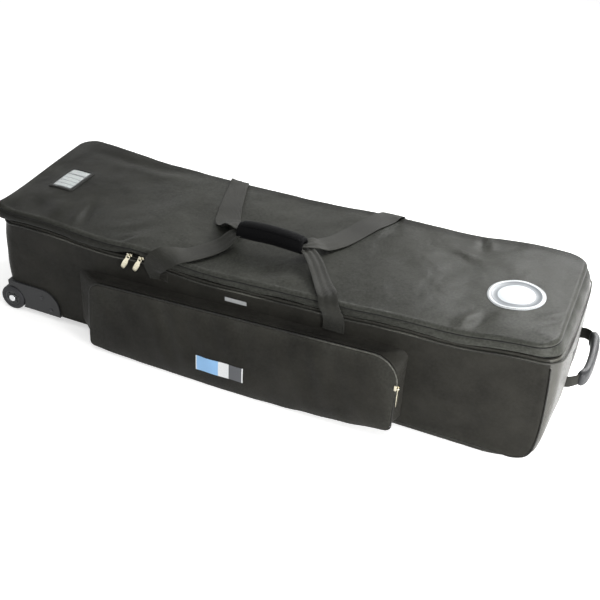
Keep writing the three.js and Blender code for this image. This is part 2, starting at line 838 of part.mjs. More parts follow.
// A slider at the origin: its body, and the crown that stands out of its face towards -Y.
function sliderBody(width, depth, height) {
  const body = new THREE.BoxGeometry(width, depth, height).translate(0, depth / 2, 0);
  const outline = new THREE.Shape();
  const bodyOverlap = sliderProud / 4;
  outline.moveTo(bodyOverlap, -crownHeight / 2);
  outline.lineTo(-crownReach + crownChamfer, -crownHeight / 2);
  outline.lineTo(-crownReach, -crownHeight / 2 + crownChamfer);
  outline.lineTo(-crownReach, crownHeight / 2 - crownChamfer);
  outline.lineTo(-crownReach + crownChamfer, crownHeight / 2);
  outline.lineTo(bodyOverlap, crownHeight / 2);
  outline.closePath();
  const slot = new THREE.Path();
  const slotHalf = crownHeight / 2 - crownBar;
  slot.moveTo(-seamGap, -slotHalf);
  slot.lineTo(-seamGap, slotHalf);
  slot.lineTo(-crownReach + crownBar, slotHalf);
  slot.lineTo(-crownReach + crownBar, -slotHalf);
  slot.closePath();
  outline.holes.push(slot);
  const crown = new THREE.ExtrudeGeometry(outline, { depth: crownWidth, bevelEnabled: false });
  // the outline's x is the part's y and its y is the part's z, so its depth lies along x
  crown.applyMatrix4(new THREE.Matrix4().set(0, 0, 1, -crownWidth / 2, 1, 0, 0, 0, 0, 1, 0, 0, 0, 0, 0, 1));
  return join(body, crown);
}

const crownMiddle = (crownReach - crownBar) / 2 + seamGap / 2;

// A pull tab hanging from the crown, with its bar at the origin.
function pullTab(length, slant) {
  const outline = new THREE.Shape();
  const half = pullWidth / 2;
  const top = pullBar / 2;
  outline.moveTo(-half, top);
  outline.lineTo(-half, -length + half);
  outline.absarc(0, -length + half, half, PI, 2 * PI, false);
  outline.lineTo(half, top);
  outline.closePath();
  const slot = new THREE.Path();
  const slotTop = -pullBar / 2;
  slot.moveTo(-pullSlotWidth / 2, slotTop);
  slot.lineTo(pullSlotWidth / 2, slotTop);
  slot.lineTo(pullSlotWidth / 2, slotTop - pullSlotLength);
  slot.lineTo(-pullSlotWidth / 2, slotTop - pullSlotLength);
  slot.closePath();
  outline.holes.push(slot);
  return extrudeAlongY(outline, -pullThickness / 2, pullThickness / 2, tubeSides).rotateY(slant);
}

const sliderFaceY = -(halfWidth + sliderProud);
const sliderDepth = sliderProud + chainInset - seamGap;
const sliderZ = (x) => rimAt(x) + zipOpening / 2;
for (const [name, x] of Object.entries({ left: leftSliderX, right: rightSliderX })) {
  const body = sliderBody(sliderWidth, sliderDepth, sliderHeight).translate(x, sliderFaceY, sliderZ(x));
  addPiece(`${name}_zip_slider`, body, finishes.nickel);
  const pull = pullTab(pullLength, pullSlant).translate(x, sliderFaceY - crownMiddle, sliderZ(x));
  addPiece(`${name}_zip_pull`, pull, finishes.nickel);
}

// Front pocket

// A convex outline with rounded corners, given as {x, z, radius} in turn, with equal steps on every side.
function roundedOutline(corners) {
  const points = [];
  corners.forEach((corner, index) => {
    const at = new THREE.Vector2(corner.x, corner.z);
    const before = corners[(index + corners.length - 1) % corners.length];
    const after = corners[(index + 1) % corners.length];
    const toBefore = new THREE.Vector2(before.x, before.z).sub(at).normalize();
    const toAfter = new THREE.Vector2(after.x, after.z).sub(at).normalize();
    const halfAngle = acos(max(-1, min(1, toBefore.dot(toAfter)))) / 2;
    const reach = corner.radius / tan(halfAngle);
    const start = at.clone().addScaledVector(toBefore, reach);
    const end = at.clone().addScaledVector(toAfter, reach);
    const inward = toBefore.clone().add(toAfter).normalize();
    const centre = at.clone().addScaledVector(inward, hypot(reach, corner.radius));
    const from = start.clone().sub(centre).angle();
    let sweep = end.clone().sub(centre).angle() - from;
    if (sweep > PI) sweep -= 2 * PI;
    if (sweep < -PI) sweep += 2 * PI;
    for (let k = 0; k <= cornerSteps; k++) {
      const angle = from + (sweep * k) / cornerSteps;
      const turn = new THREE.Vector2(cos(angle), sin(angle));
      points.push(centre.clone().addScaledVector(turn, corner.radius));
    }
    const nextReach = after.radius / tan(halfAngleAt(corners, index + 1));
    const nextStart = new THREE.Vector2(after.x, after.z).addScaledVector(toAfter, -nextReach);
    for (let k = 1; k < pocketSideSteps; k++) points.push(end.clone().lerp(nextStart, k / pocketSideSteps));
  });
  return points;
}

function halfAngleAt(corners, index) {
  const at = corners[index % corners.length];
  const before = corners[(index + corners.length - 1) % corners.length];
  const after = corners[(index + 1) % corners.length];
  const a = new THREE.Vector2(before.x - at.x, before.z - at.z).normalize();
  const b = new THREE.Vector2(after.x - at.x, after.z - at.z).normalize();
  return acos(max(-1, min(1, a.dot(b)))) / 2;
}

// The pocket's outline where it is sewn to the wall.
function pocketRoot(inset) {
  const radius = pocketRootRadius - inset;
  return roundedOutline([
    { x: pocketWheelSideX + inset, z: pocketBottom + inset, radius },
    { x: pocketHandleSideX - inset, z: pocketBottom + inset, radius },
    { x: pocketHandleSideX - inset, z: pocketTopAtHandleSide - inset, radius },
    { x: pocketWheelSideX + inset, z: pocketTopAtWheelSide - inset, radius },
  ]);
}

// The outline of its face, smaller on the wheel side and with a large corner where the zip turns down.
function pocketFront(inset) {
  const left = pocketWheelSideX + pocketWheelSideTaper + inset;
  const right = pocketHandleSideX - pocketHandleSideTaper - inset;
  const bottom = pocketBottom - pocketFaceDrop;
  return roundedOutline([
    { x: left, z: bottom + inset, radius: pocketSmallRadius - inset },
    { x: right, z: bottom + inset, radius: pocketSmallRadius - inset },
    { x: right, z: pocketTopAtHandleSide - inset, radius: pocketTopRadius - inset },
    { x: left, z: pocketTopAtWheelSide - inset, radius: pocketSmallRadius - inset },
  ]);
}

const pocketRootY = -(halfWidth + seamGap);
const pocketFrontY = -(halfWidth + pocketDepth);
const pocketZipNearY = pocketFrontY - seamGap;
const pocketZipFarY = pocketZipNearY - pocketZipDepth;
const pocketFaceBackY = pocketZipFarY - seamGap;

const atY = (outline, y) => outline.map((p) => new THREE.Vector3(p.x, y, p.y));
const pairUp = (first, second) => first.map((p, i) => [p, second[i]]);

addPiece(
  "pocket_gusset",
  slab(
    pairUp(atY(pocketRoot(0), pocketRootY), atY(pocketFront(0), pocketFrontY)),
    pairUp(atY(pocketRoot(gussetThickness), pocketRootY), atY(pocketFront(gussetThickness), pocketFrontY)),
    true,
  ),
  finishes.nylon,
);

const zipOuter = pocketFront(pocketZipInset);
const zipInner = pocketFront(pocketZipInset + pocketZipThickness);
addPiece(
  "pocket_zip",
  slab(
    pairUp(atY(zipOuter, pocketZipNearY), atY(zipOuter, pocketZipFarY)),
    pairUp(atY(zipInner, pocketZipNearY), atY(zipInner, pocketZipFarY)),
    true,
  ),
  finishes.chain,
);

// The face swells towards its middle.
const faceOutline = pocketFront(0);
const faceMiddle = faceOutline
  .reduce((sum, p) => sum.add(p), new THREE.Vector2())
  .divideScalar(faceOutline.length);
const faceRing = (share, y) =>
  faceOutline.map((p) => {
    const at = faceMiddle.clone().lerp(p, share);
    return new THREE.Vector3(at.x, y - pocketCrown * (1 - share ** 2), at.y);
  });
addPiece(
  "pocket_face",
  loft([
    ...swellShares.map((share) => faceRing(share, pocketFaceBackY)),
    faceRing(1, pocketFaceBackY),
    faceRing(1, pocketFaceBackY - pocketFaceThickness),
    ...swellShares.toReversed().map((share) => faceRing(share, pocketFaceBackY - pocketFaceThickness)),
  ]),
  finishes.nylon,
);

const facePiping = atY(pocketFront(-pipingOut), pocketFaceBackY - pocketFaceThickness / 2);
addPiece("pocket_piping", cord(facePiping, acrossCase, true), finishes.piping);

const pocketSliderZ = pocketTopAtHandleSide - pocketTopRadius - pocketSliderLength / 2;
const pocketSliderX = pocketHandleSideX - pocketHandleSideTaper - pocketZipInset + seamGap;
const pocketSliderY = (pocketZipNearY + pocketZipFarY) / 2;
const pocketSliderBodyDepth = sliderProud + pocketZipInset;
addPiece(
  "pocket_zip_slider",
  sliderBody(pocketSliderDepth, pocketSliderBodyDepth, pocketSliderLength)
    .rotateZ(quarterTurn)
    .translate(pocketSliderX + pocketSliderBodyDepth, pocketSliderY, pocketSliderZ),
  finishes.nickel,
);
addPiece(
  "pocket_zip_pull",
  pullTab(pocketPullLength, 0)
    .rotateZ(quarterTurn)
    .translate(pocketSliderX + pocketSliderBodyDepth + crownMiddle, pocketSliderY, pocketSliderZ),
  finishes.nickel,
);

// Tags, patch and the window for a name card

function tag(x, z, y, length, height, slope) {
  return new THREE.BoxGeometry(length, tagThickness, height)
    .rotateY(-slope)
    .translate(x, y - tagThickness / 2, z);
}

const caseSlope = atan((rimAtHandleEnd - rimAtWheelEnd) / baseLength);
addPiece(
  "front_tag",
  tag(frontTagX, frontTagZ, -(halfWidth + seamGap), frontTagLength, frontTagHeight, caseSlope),
  finishes.tag,
);
addPiece(
  "pocket_label",
  tag(
    pocketLabelX, pocketLabelZ, pocketFaceBackY - pocketFaceThickness - pocketCrown - seamGap,
    pocketLabelLength, pocketLabelHeight, caseSlope,
  ),
  finishes.label,
);

// A thin plate lying on the lid over a plan of points, between two heights above the lid's surface.
function onLid(plan, low, high) {
  const ringAt = (lift) => plan.map(({ x, y }) => new THREE.Vector3(x, y, lidSurfaceAt(x, y) + lift));
  return loft([ringAt(low), ringAt(high)]);
}

function windowPlan(inset) {
  const length = windowLength / 2 - inset;
  const width = windowWidth / 2 - inset;
  const radius = windowFrame - min(inset, windowFrame / 2);
  return closedOutline(planOutline(length, length, width, radius)).map(
    ({ x, y }) => new THREE.Vector2(x + windowX, y + windowY),
  );
}

const frameGrid = (inset) =>
  windowPlan(inset).map(({ x, y }) =>
    [seamGap, seamGap + windowFrameThickness].map(
      (lift) => new THREE.Vector3(x, y, lidSurfaceAt(x, y) + lift),
    ),
  );
addPiece("card_window_frame", slab(frameGrid(0), frameGrid(windowFrame), true), finishes.piping);
const cardLow = seamGap;
const cardHigh = cardLow + cardThickness;
addPiece("name_card", onLid(windowPlan(windowFrame + cardMargin), cardLow, cardHigh), finishes.card);
const sheetLow = cardHigh + seamGap;
addPiece(
  "card_window_sheet",
  onLid(windowPlan(windowFrame + seamGap), sheetLow, sheetLow + windowSheetThickness),
  finishes.window,
);

const patchPlan = Array.from({ length: wheelSteps }, (_, k) => {
  const angle = (2 * PI * k) / wheelSteps;
  return new THREE.Vector2(patchX + patchRadius * cos(angle), patchY + patchRadius * sin(angle));
});
addPiece("round_patch", onLid(patchPlan, seamGap, seamGap + patchThickness), finishes.patch);

// Carry loops

const gripMiddleZ = lidTopAt(gripX) + lidCrown + gripLift + gripRadius;

// One loop of webbing: up the wall, over the lid's edge, across the lid to the grip, through it and back.
// The layer is its height in the stack where the loops cross.
function carryLoop(sideSign, layer, footXs, gripOffset) {
  const out = new THREE.Vector3(0, sideSign, 0);
  const lidEdgeY = sideSign * (halfWidth + lidSideOverhang);
  const wallY = sideSign * (halfWidth + loopSeamThickness + webbingThickness / 2);
  const pipingY = sideSign * (halfWidth + pipingOut + pipingRadius + webbingThickness);
  const standOffY = sideSign * (halfWidth + loopStandOff);
  const lift = webbingThickness / 2 + loopLidGap + layer * loopLayerStep;
  const leg = (footX, endSign) => {
    const gripHeight = gripMiddleZ + gripOffset - lidTopAt(gripX);
    const gripPoint = (reach) => new THREE.Vector3(gripX + endSign * reach, gripY, gripMiddleZ + gripOffset);
    const gripEnd = gripPoint(gripLength / 2 + gripLeadLength);
    const onLidAt = (share, extra) => {
      const x = lerp(footX, gripEnd.x, share);
      const y = lerp(lidEdgeY, gripEnd.y, share);
      return new THREE.Vector3(x, y, lidSurfaceAt(x, y) + lift + extra);
    };
    const edgeTop = lidTopAt(footX) + lift;
    return [
      { at: new THREE.Vector3(footX, wallY, loopFootTop - loopFootLength), face: out },
      { at: new THREE.Vector3(footX, wallY, loopFootTop), face: out },
      { at: new THREE.Vector3(footX, pipingY, rimAt(footX) - rimPipingDrop), face: out },
      { at: new THREE.Vector3(footX, standOffY, rimAt(footX) + zipOpening / 2), face: out },
      { at: new THREE.Vector3(footX, standOffY, edgeTop - lidSkirtHeight / 2), face: out },
      { at: new THREE.Vector3(footX, lidEdgeY, edgeTop), face: out.clone().add(up).normalize() },
      { at: onLidAt(lidEdgeShare, 0), face: up },
      { at: onLidAt(lidRiseShare, 0), face: up },
      { at: onLidAt(lidNearGripShare, (gripHeight - lift) / 2), face: up },
      { at: gripEnd, face: up },
      { at: gripPoint(gripLength / 2), face: up },
    ];
  };
  const wheelSide = leg(footXs[0], -1);
  const handleSide = leg(footXs[1], 1).reverse();
  const middle = { at: new THREE.Vector3(gripX, gripY, gripMiddleZ + gripOffset), face: up };
  const stations = [...wheelSide, middle, ...handleSide];
  const curve = new THREE.CatmullRomCurve3(stations.map(({ at }) => at), false, "centripetal");
  const points = [];
  const acrosses = [];
  const widths = [];
  const last = stations.length - 1;
  const steps = last * loopStepsPerStation;
  for (let i = 0; i <= steps; i++) {
    const place = (i / steps) * last;
    const index = min(floor(place), last - 1);
    const face = stations[index].face.clone().lerp(stations[index + 1].face, place - index).normalize();
    const tangent = curve.getTangent(i / steps);
    points.push(curve.getPoint(i / steps));
    acrosses.push(tangent.clone().cross(face).normalize());
    const fromMiddle = abs(place - last / 2);
    const foldShare = max(0, min(1, fromMiddle - 2));
    widths.push(webbingWidth * lerp(gripFoldShare, 1, foldShare));
  }
  return ribbon(points, acrosses, widths, webbingThickness);
}

const gripStack = webbingThickness + gripStackGap;
const loopFeet = [loopWheelSideX, loopHandleSideX];
addPiece("front_carry_loop", carryLoop(-1, 1, loopFeet, gripStack), finishes.webbing);
addPiece("rear_carry_loop", carryLoop(1, 0, loopFeet, -gripStack), finishes.webbing);

// The padded grip is a sleeve round both loops, open at its ends.
const gripSection = new THREE.Shape().absarc(0, 0, gripRadius, 0, 2 * PI, false);
const gripBoreHalf = (webbingWidth * gripFoldShare) / 2 + runningGap;
const gripBore = new THREE.Path();
gripBore.moveTo(-gripBoreHalf, -gripBoreHeight / 2);
gripBore.lineTo(-gripBoreHalf, gripBoreHeight / 2);
gripBore.lineTo(gripBoreHalf, gripBoreHeight / 2);
gripBore.lineTo(gripBoreHalf, -gripBoreHeight / 2);
gripBore.closePath();
gripSection.holes.push(gripBore);
const grip = new THREE.ExtrudeGeometry(gripSection, {
  depth: gripLength,
  bevelEnabled: false,
  curveSegments: wheelSteps / 2,
});
// the section's x is the part's y and its y is the part's z, so its depth lies along x
grip.applyMatrix4(
  new THREE.Matrix4().set(0, 0, 1, gripX - gripLength / 2, 1, 0, 0, gripY, 0, 1, 0, gripMiddleZ, 0, 0, 0, 1),
);
addPiece("carry_grip", grip, finishes.pad);

// End handle

const endWallAt = (y, z) => halfLength + bulgeAt(y, z, rimAt(halfLength));
const patchGrid = (out) =>
  Array.from({ length: sideSteps + 1 }, (_, i) => {
    const reach = endHandleSpan / 2 + endPatchMargin;
    const y = lerp(-reach, reach, i / sideSteps);
    return [-1, 0, 1].map((side) => {
      const z = endHandleZ + (side * endPatchHeight) / 2;
      return new THREE.Vector3(endWallAt(y, z) + out, y, z);
    });
  });
const endPatch = slab(patchGrid(seamGap + endPatchThickness), patchGrid(seamGap));
addPiece("end_handle_patch", endPatch, finishes.webbing);

// The webbing's line from above, from one root to the other. Its roots are rounded about the swing axis.
const endHandleRootX =
  endWallAt(endHandleSpan / 2, endHandleZ) + seamGap + endPatchThickness + endHandleWebbing / 2 + endRootGap;
const endHandleTip = endHandleRootX + endHandleReach;
const endHandleCurve = new THREE.CatmullRomCurve3(
  [
    [endHandleRootX, -endHandleSpan / 2],
    [lerp(endHandleRootX, endHandleTip, endShoulderShare), (-endHandleSpan / 2) * endWaistShare],
    [endHandleTip, (-endHandleSpan / 2) * endTurnShare],
    [endHandleTip, (endHandleSpan / 2) * endTurnShare],
    [lerp(endHandleRootX, endHandleTip, endShoulderShare), (endHandleSpan / 2) * endWaistShare],
    [endHandleRootX, endHandleSpan / 2],
  ].map(([x, y]) => new THREE.Vector3(x, y, endHandleZ)),
  false,
  "centripetal",
);

// A band of a given height and thickness along a stretch of the handle's line.
function endBand(fromShare, toShare, height, thickness) {
  const points = [];
  const steps = sideSteps;
  for (let i = 0; i <= steps; i++) {
    points.push(endHandleCurve.getPointAt(lerp(fromShare, toShare, i / steps)));
  }
  return ribbon(points, points.map(() => up), points.map(() => height), thickness);
}

// Each root ends in a half disc, so that the loop can swing up and down in front of the patch.
function rootDisc(sideSign) {
  const disc = new THREE.CylinderGeometry(
    endHandleWebbing / 2, endHandleWebbing / 2, endHandleWebbingThickness, wheelSteps,
  );
  const inward = endHandleWebbingThickness / 4;
  return disc.translate(endHandleRootX, sideSign * (endHandleSpan / 2 - inward), endHandleZ);
}

addPiece(
  "end_handle_webbing",
  join(endBand(0, 1, endHandleWebbing, endHandleWebbingThickness), rootDisc(-1), rootDisc(1)),
  finishes.webbing,
);

const padFrom = (1 - endHandlePadShare) / 2;
addPiece(
  "end_handle_pad",
  cut(
    endBand(padFrom, 1 - padFrom, endHandlePadWidth, endHandlePadThickness),
    endBand(0, 1, endHandleWebbing + 2 * seamGap, endHandleWebbingThickness + 2 * seamGap),
  ),
  finishes.pad,
);

// The origin is on the ground at the middle of the footprint.
const footprint = new THREE.Box3().setFromObject(part).getCenter(new THREE.Vector3());
part.position.set(-footprint.x, -footprint.y, groundClearance);

export default part;
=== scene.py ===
"""A padded drum hardware case on two wheels, dressed in its cloth, webbing, zips and mouldings.

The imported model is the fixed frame. Every class below is one sub-assembly of the case. Sizes are in
millimetres in the case's own directions: x runs from the wheel end to the handle end, the front with the
pocket faces -y, and z is zero at the underside of the tub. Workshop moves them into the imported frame.
"""
import functools
import logging
import math
from dataclasses import dataclass
from enum import Enum
from typing import Callable, Sequence

import bpy
import numpy as np
from mathutils import Matrix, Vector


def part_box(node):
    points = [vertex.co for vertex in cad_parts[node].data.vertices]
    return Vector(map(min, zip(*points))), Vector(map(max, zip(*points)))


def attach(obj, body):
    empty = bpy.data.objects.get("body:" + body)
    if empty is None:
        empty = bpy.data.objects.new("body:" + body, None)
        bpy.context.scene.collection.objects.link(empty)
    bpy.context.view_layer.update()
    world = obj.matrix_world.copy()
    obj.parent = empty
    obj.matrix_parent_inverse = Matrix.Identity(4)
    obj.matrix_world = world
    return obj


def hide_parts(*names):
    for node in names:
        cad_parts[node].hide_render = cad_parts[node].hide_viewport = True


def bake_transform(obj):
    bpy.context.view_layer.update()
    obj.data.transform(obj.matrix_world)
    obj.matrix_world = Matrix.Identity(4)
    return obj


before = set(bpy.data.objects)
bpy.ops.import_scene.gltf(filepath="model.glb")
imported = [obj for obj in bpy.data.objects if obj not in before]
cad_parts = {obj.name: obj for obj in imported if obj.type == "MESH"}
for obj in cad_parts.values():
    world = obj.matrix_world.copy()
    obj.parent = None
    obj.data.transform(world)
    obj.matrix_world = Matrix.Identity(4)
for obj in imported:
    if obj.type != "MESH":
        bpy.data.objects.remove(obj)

Array = np.ndarray
Object = bpy.types.Object
Socket = bpy.types.NodeSocket
Point = tuple[float, float, float]
MM = 0.001
UP = np.array([0, 0, 1.0])
REARWARD = np.array([0, 1.0, 0])
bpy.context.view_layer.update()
log = logging.getLogger("drum_case")


class Body(Enum):
    """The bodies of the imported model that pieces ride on."""

    CASE = "case"
    LID = "lid"
    FRONT_LOOP = "front_loop"
    REAR_LOOP = "rear_loop"
    FRONT_WHEEL = "front_wheel"
    REAR_WHEEL = "rear_wheel"
    LEFT_SLIDER = "left_slider"
    LEFT_PULL = "left_pull"
    RIGHT_SLIDER = "right_slider"
    RIGHT_PULL = "right_pull"
    POCKET_FLAP = "pocket_flap"
    POCKET_SLIDER = "pocket_slider"
    POCKET_PULL = "pocket_pull"
    END_HANDLE = "end_handle"


class Side(Enum):
    """The two long sides, by the sign of y."""

    FRONT = -1
    REAR = 1

    @property
    def word(self) -> str:
        """The side's word in the names of pieces."""
        return self.name.lower()

    def body(self, kind: str) -> Body:
        """The body of a kind on this side."""
        return Body(f"{self.word}_{kind}")


class Weave(Enum):
    """How the threads of a cloth cross."""

    PLAIN = "plain"
    RIBBED = "ribbed"
    TWILL = "twill"


# Colour and nodes


def linear(colour: str, alpha: float = 1.0) -> tuple[float, float, float, float]:
    """Turns an sRGB hex colour into linear light: c / 12.92 when dark, else ((c + 0.055) / 1.055) ^ 2.4.

    Args:
        colour: Six hex digits after a hash.
        alpha: The fourth value.

    Returns:
        Red, green, blue and alpha.
    """
    parts = [int(colour[i : i + 2], 16) / 255 for i in (1, 3, 5)]
    red, green, blue = (c / 12.92 if c <= 0.04045 else ((c + 0.055) / 1.055) ** 2.4 for c in parts)
    return red, green, blue, alpha


def blank(owner: bpy.types.ID) -> bpy.types.NodeTree:
    """Starts an empty node tree for a material or the world."""
    owner.use_nodes = True
    owner.node_tree.nodes.clear()
    return owner.node_tree


def add(tree: bpy.types.NodeTree, kind: str, inputs: dict | None = None, **settings: object) -> Sequence[Socket]:
    """Adds a node with its settings and its inputs.

    Args:
        tree: The node tree.
        kind: The node's type, after its leading ShaderNode.
        inputs: For each input, by name or number, the socket it takes, a plain value or a hex colour.
        **settings: Properties of the node.

    Returns:
        The node's outputs.
    """
    node = tree.nodes.new(f"ShaderNode{kind}")
    for name, value in settings.items():
        setattr(node, name, value)
    for name, source in (inputs or {}).items():
        if isinstance(source, Socket):
            tree.links.new(source, node.inputs[name])
        else:
            node.inputs[name].default_value = linear(source) if isinstance(source, str) else source
    return node.outputs


@dataclass(frozen=True)
class Finish:
    """A finish of the case. Each kind draws its own nodes, once."""

    name: str

    def material(self) -> bpy.types.Material:
        """Gives the finish's material, made at its first use."""
        found = bpy.data.materials.get(self.name)
        if found:
            return found
        made = bpy.data.materials.new(self.name)
        tree = blank(made)
        add(tree, "OutputMaterial", {"Surface": self.draw(tree)})
        return made

    def draw(self, tree: bpy.types.NodeTree) -> Socket:
        """Draws the nodes and gives the shader."""
        raise NotImplementedError


@dataclass(frozen=True)
class Woven(Finish):
    """Woven cloth: crossing threads, slow changes of shade from handling, and a pale colour for wear and for painted
    light.

    The threads follow the piece's own map, which is in metres. The mottle follows Object coordinates.
    """

    dark: str
    light: str
    worn_and_lit: str
    thread: float
    weave: Weave
    roughness: float
    sheen: float
    relief: float
    gloss: float
    mottle: float = 110.0
    crumple: float = 0.0

    def draw(self, tree: bpy.types.NodeTree) -> Socket:
        """Thread height is sin x sin y for a plain weave, sin x + 0.35 sin y for ribs, sin(x + y) for a twill."""
        place = add(tree, "TexCoord")
        turns_a_metre = 2 * math.pi / (self.thread * MM)
        scaled = add(tree, "Mapping", {"Vector": place["UV"], "Scale": (turns_a_metre,) * 3})
        along, across, _ = add(tree, "SeparateXYZ", {0: scaled[0]})
        if self.weave is Weave.TWILL:
            total = add(tree, "Math", {0: along, 1: across}, operation="ADD")
            threads = add(tree, "Math", {0: total[0]}, operation="SINE")
        else:
            first, second = (add(tree, "Math", {0: way}, operation="SINE")[0] for way in (along, across))
            plain = self.weave is Weave.PLAIN
            inputs = {0: first, 1: second} if plain else {0: second, 1: 0.35, 2: first}
            threads = add(tree, "Math", inputs, operation="MULTIPLY" if plain else "MULTIPLY_ADD")
        # uneven yarn and handling marks, a few millimetres and about a hand's breadth wide
        yarn = add(tree, "TexNoise", {"Vector": place["Object"], "Scale": 1 / (5 * MM), "Detail": 3.0})
        marks = {"Vector": place["Object"], "Scale": 1 / (self.mottle * MM), "Detail": 4.0, "Roughness": 0.6}
        cloud = add(tree, "TexNoise", marks)
        shade = add(tree, "MapRange", {"Value": cloud[0], "From Min": 0.35, "From Max": 0.68})
        base = add(tree, "Mix", {0: shade[0], 6: self.dark, 7: self.light}, data_type="RGBA")
        speck = add(tree, "MapRange", {"Value": yarn[0], "From Min": 0.3, "From Max": 0.7, "To Max": 0.09})
        flecked = add(tree, "Mix", {0: speck[0], 6: base[2], 7: self.worn_and_lit}, data_type="RGBA")
        # the map holds wear, and on the lid and the cords it also holds painted light and painted highlights
        wear_and_light = add(tree, "Attribute", attribute_name="wear_and_light")
        rubbed_and_lit = add(tree, "Math", {0: wear_and_light["Fac"], 1: yarn[0]}, operation="MULTIPLY", use_clamp=True)
        colour = add(tree, "Mix", {0: rubbed_and_lit[0], 6: flecked[2], 7: self.worn_and_lit}, data_type="RGBA")
        low, high = self.roughness - 0.08, self.roughness + 0.08
        rough = add(tree, "MapRange", {"Value": cloud[0], "To Min": low, "To Max": high})
        height = add(tree, "Math", {0: yarn[0], 1: 0.35, 2: threads[0]}, operation="MULTIPLY_ADD")
        relief = {"Height": height[0], "Distance": self.relief * MM, "Strength": 0.7}
        if self.crumple:
            # shallow creases a few centimetres apart that break up the shine of the coating
            folds = {"Vector": place["Object"], "Scale": 1 / (64 * MM), "Detail": 1.5, "Distortion": 0.35}
            crease = add(tree, "TexNoise", folds)
            relief["Normal"] = add(tree, "Bump", {"Height": crease[0], "Distance": self.crumple * MM})[0]
        return add(tree, "BsdfPrincipled", {
            "Base Color": colour[2], "Roughness": rough[0], "Normal": add(tree, "Bump", relief)[0],
            "Sheen Weight": self.sheen, "Sheen Roughness": 0.45, "Specular IOR Level": self.gloss,
        })[0]


@dataclass(frozen=True)
class Moulded(Finish):
    """Moulded plastic or rubber: a spark-eroded grain, a slow change of shade, and fine scuffs."""

    colour: str
    scuffed: str
    roughness: float
    grain: float = 1.2
    relief: float = 0.08
    scuffs: float = 0.25

    def draw(self, tree: bpy.types.NodeTree) -> Socket:
        """Grain is a fine noise in the bump. Scuffs are a stretched noise above a threshold."""
        place = add(tree, "TexCoord")["Object"]
        drawn = add(tree, "Mapping", {"Vector": place, "Scale": (1.0, 1.0, 6.0)})
        rub = add(tree, "TexNoise", {"Vector": drawn[0], "Scale": 1 / (26 * MM), "Detail": 6.0, "Roughness": 0.7})
        limits = {"Value": rub[0], "From Min": 0.5, "From Max": 0.75, "To Max": self.scuffs}
        scuff = add(tree, "MapRange", limits)
        colour = add(tree, "Mix", {0: scuff[0], 6: self.colour, 7: self.scuffed}, data_type="RGBA")
        low, high = self.roughness - 0.1, self.roughness + 0.12
        rough = add(tree, "MapRange", {"Value": rub[0], "To Min": low, "To Max": high})
        grain = add(tree, "TexNoise", {"Vector": place, "Scale": 1 / (self.grain * MM), "Detail": 2.0})
        bump = add(tree, "Bump", {"Height": grain[0], "Distance": self.relief * MM, "Strength": 0.8})
        look = {"Base Color": colour[2], "Roughness": rough[0], "Normal": bump[0], "IOR": 1.49}
        return add(tree, "BsdfPrincipled", look)[0]


@dataclass(frozen=True)
class Plated(Finish):
    """Plated zinc or steel: bright, with a faint tarnish in patches and hairline scratches."""

    colour: str
    tarnish: str
    roughness: float

    def draw(self, tree: bpy.types.NodeTree) -> Socket:
        """Tarnish is a noise of about 6 mm. Scratches are a noise drawn out ten times along x."""
        place = add(tree, "TexCoord")["Object"]
        patch = add(tree, "TexNoise", {"Vector": place, "Scale": 1 / (6 * MM), "Detail": 3.0})
        drawn = add(tree, "Mapping", {"Vector": place, "Scale": (0.1, 1.0, 1.0)})
        hair = add(tree, "TexNoise", {"Vector": drawn[0], "Scale": 1 / (0.6 * MM), "Detail": 2.0})
        veil = add(tree, "MapRange", {"Value": patch[0], "From Min": 0.4, "From Max": 0.8, "To Max": 0.6})
        colour = add(tree, "Mix", {0: veil[0], 6: self.colour, 7: self.tarnish}, data_type="RGBA")
        low, high = self.roughness - 0.06, self.roughness + 0.14
        rough = add(tree, "MapRange", {"Value": hair[0], "To Min": low, "To Max": high})
        bump = add(tree, "Bump", {"Height": hair[0], "Distance": 0.02 * MM, "Strength": 0.4})
        look = {"Base Color": colour[2], "Roughness": rough[0], "Normal": bump[0], "Metallic": 1.0}
        return add(tree, "BsdfPrincipled", look)[0]


@dataclass(frozen=True)
class ClearVinyl(Finish):
    """Clear pressed vinyl sheet: glossy, with a slow ripple that bends the reflections."""

    tint: str

    def draw(self, tree: bpy.types.NodeTree) -> Socket:
        """The ripple is a noise of about 18 mm in the bump."""
        place = add(tree, "TexCoord")["Object"]
        ripple = add(tree, "TexNoise", {"Vector": place, "Scale": 1 / (18 * MM), "Detail": 1.0})
        haze = add(tree, "MapRange", {"Value": ripple[0], "To Min": 0.08, "To Max": 0.2})
        bump = add(tree, "Bump", {"Height": ripple[0], "Distance": 0.5 * MM, "Strength": 0.5})
        return add(tree, "BsdfPrincipled", {
            "Base Color": self.tint, "Roughness": haze[0], "Normal": bump[0], "IOR": 1.53,
            "Transmission Weight": 0.92,
        })[0]


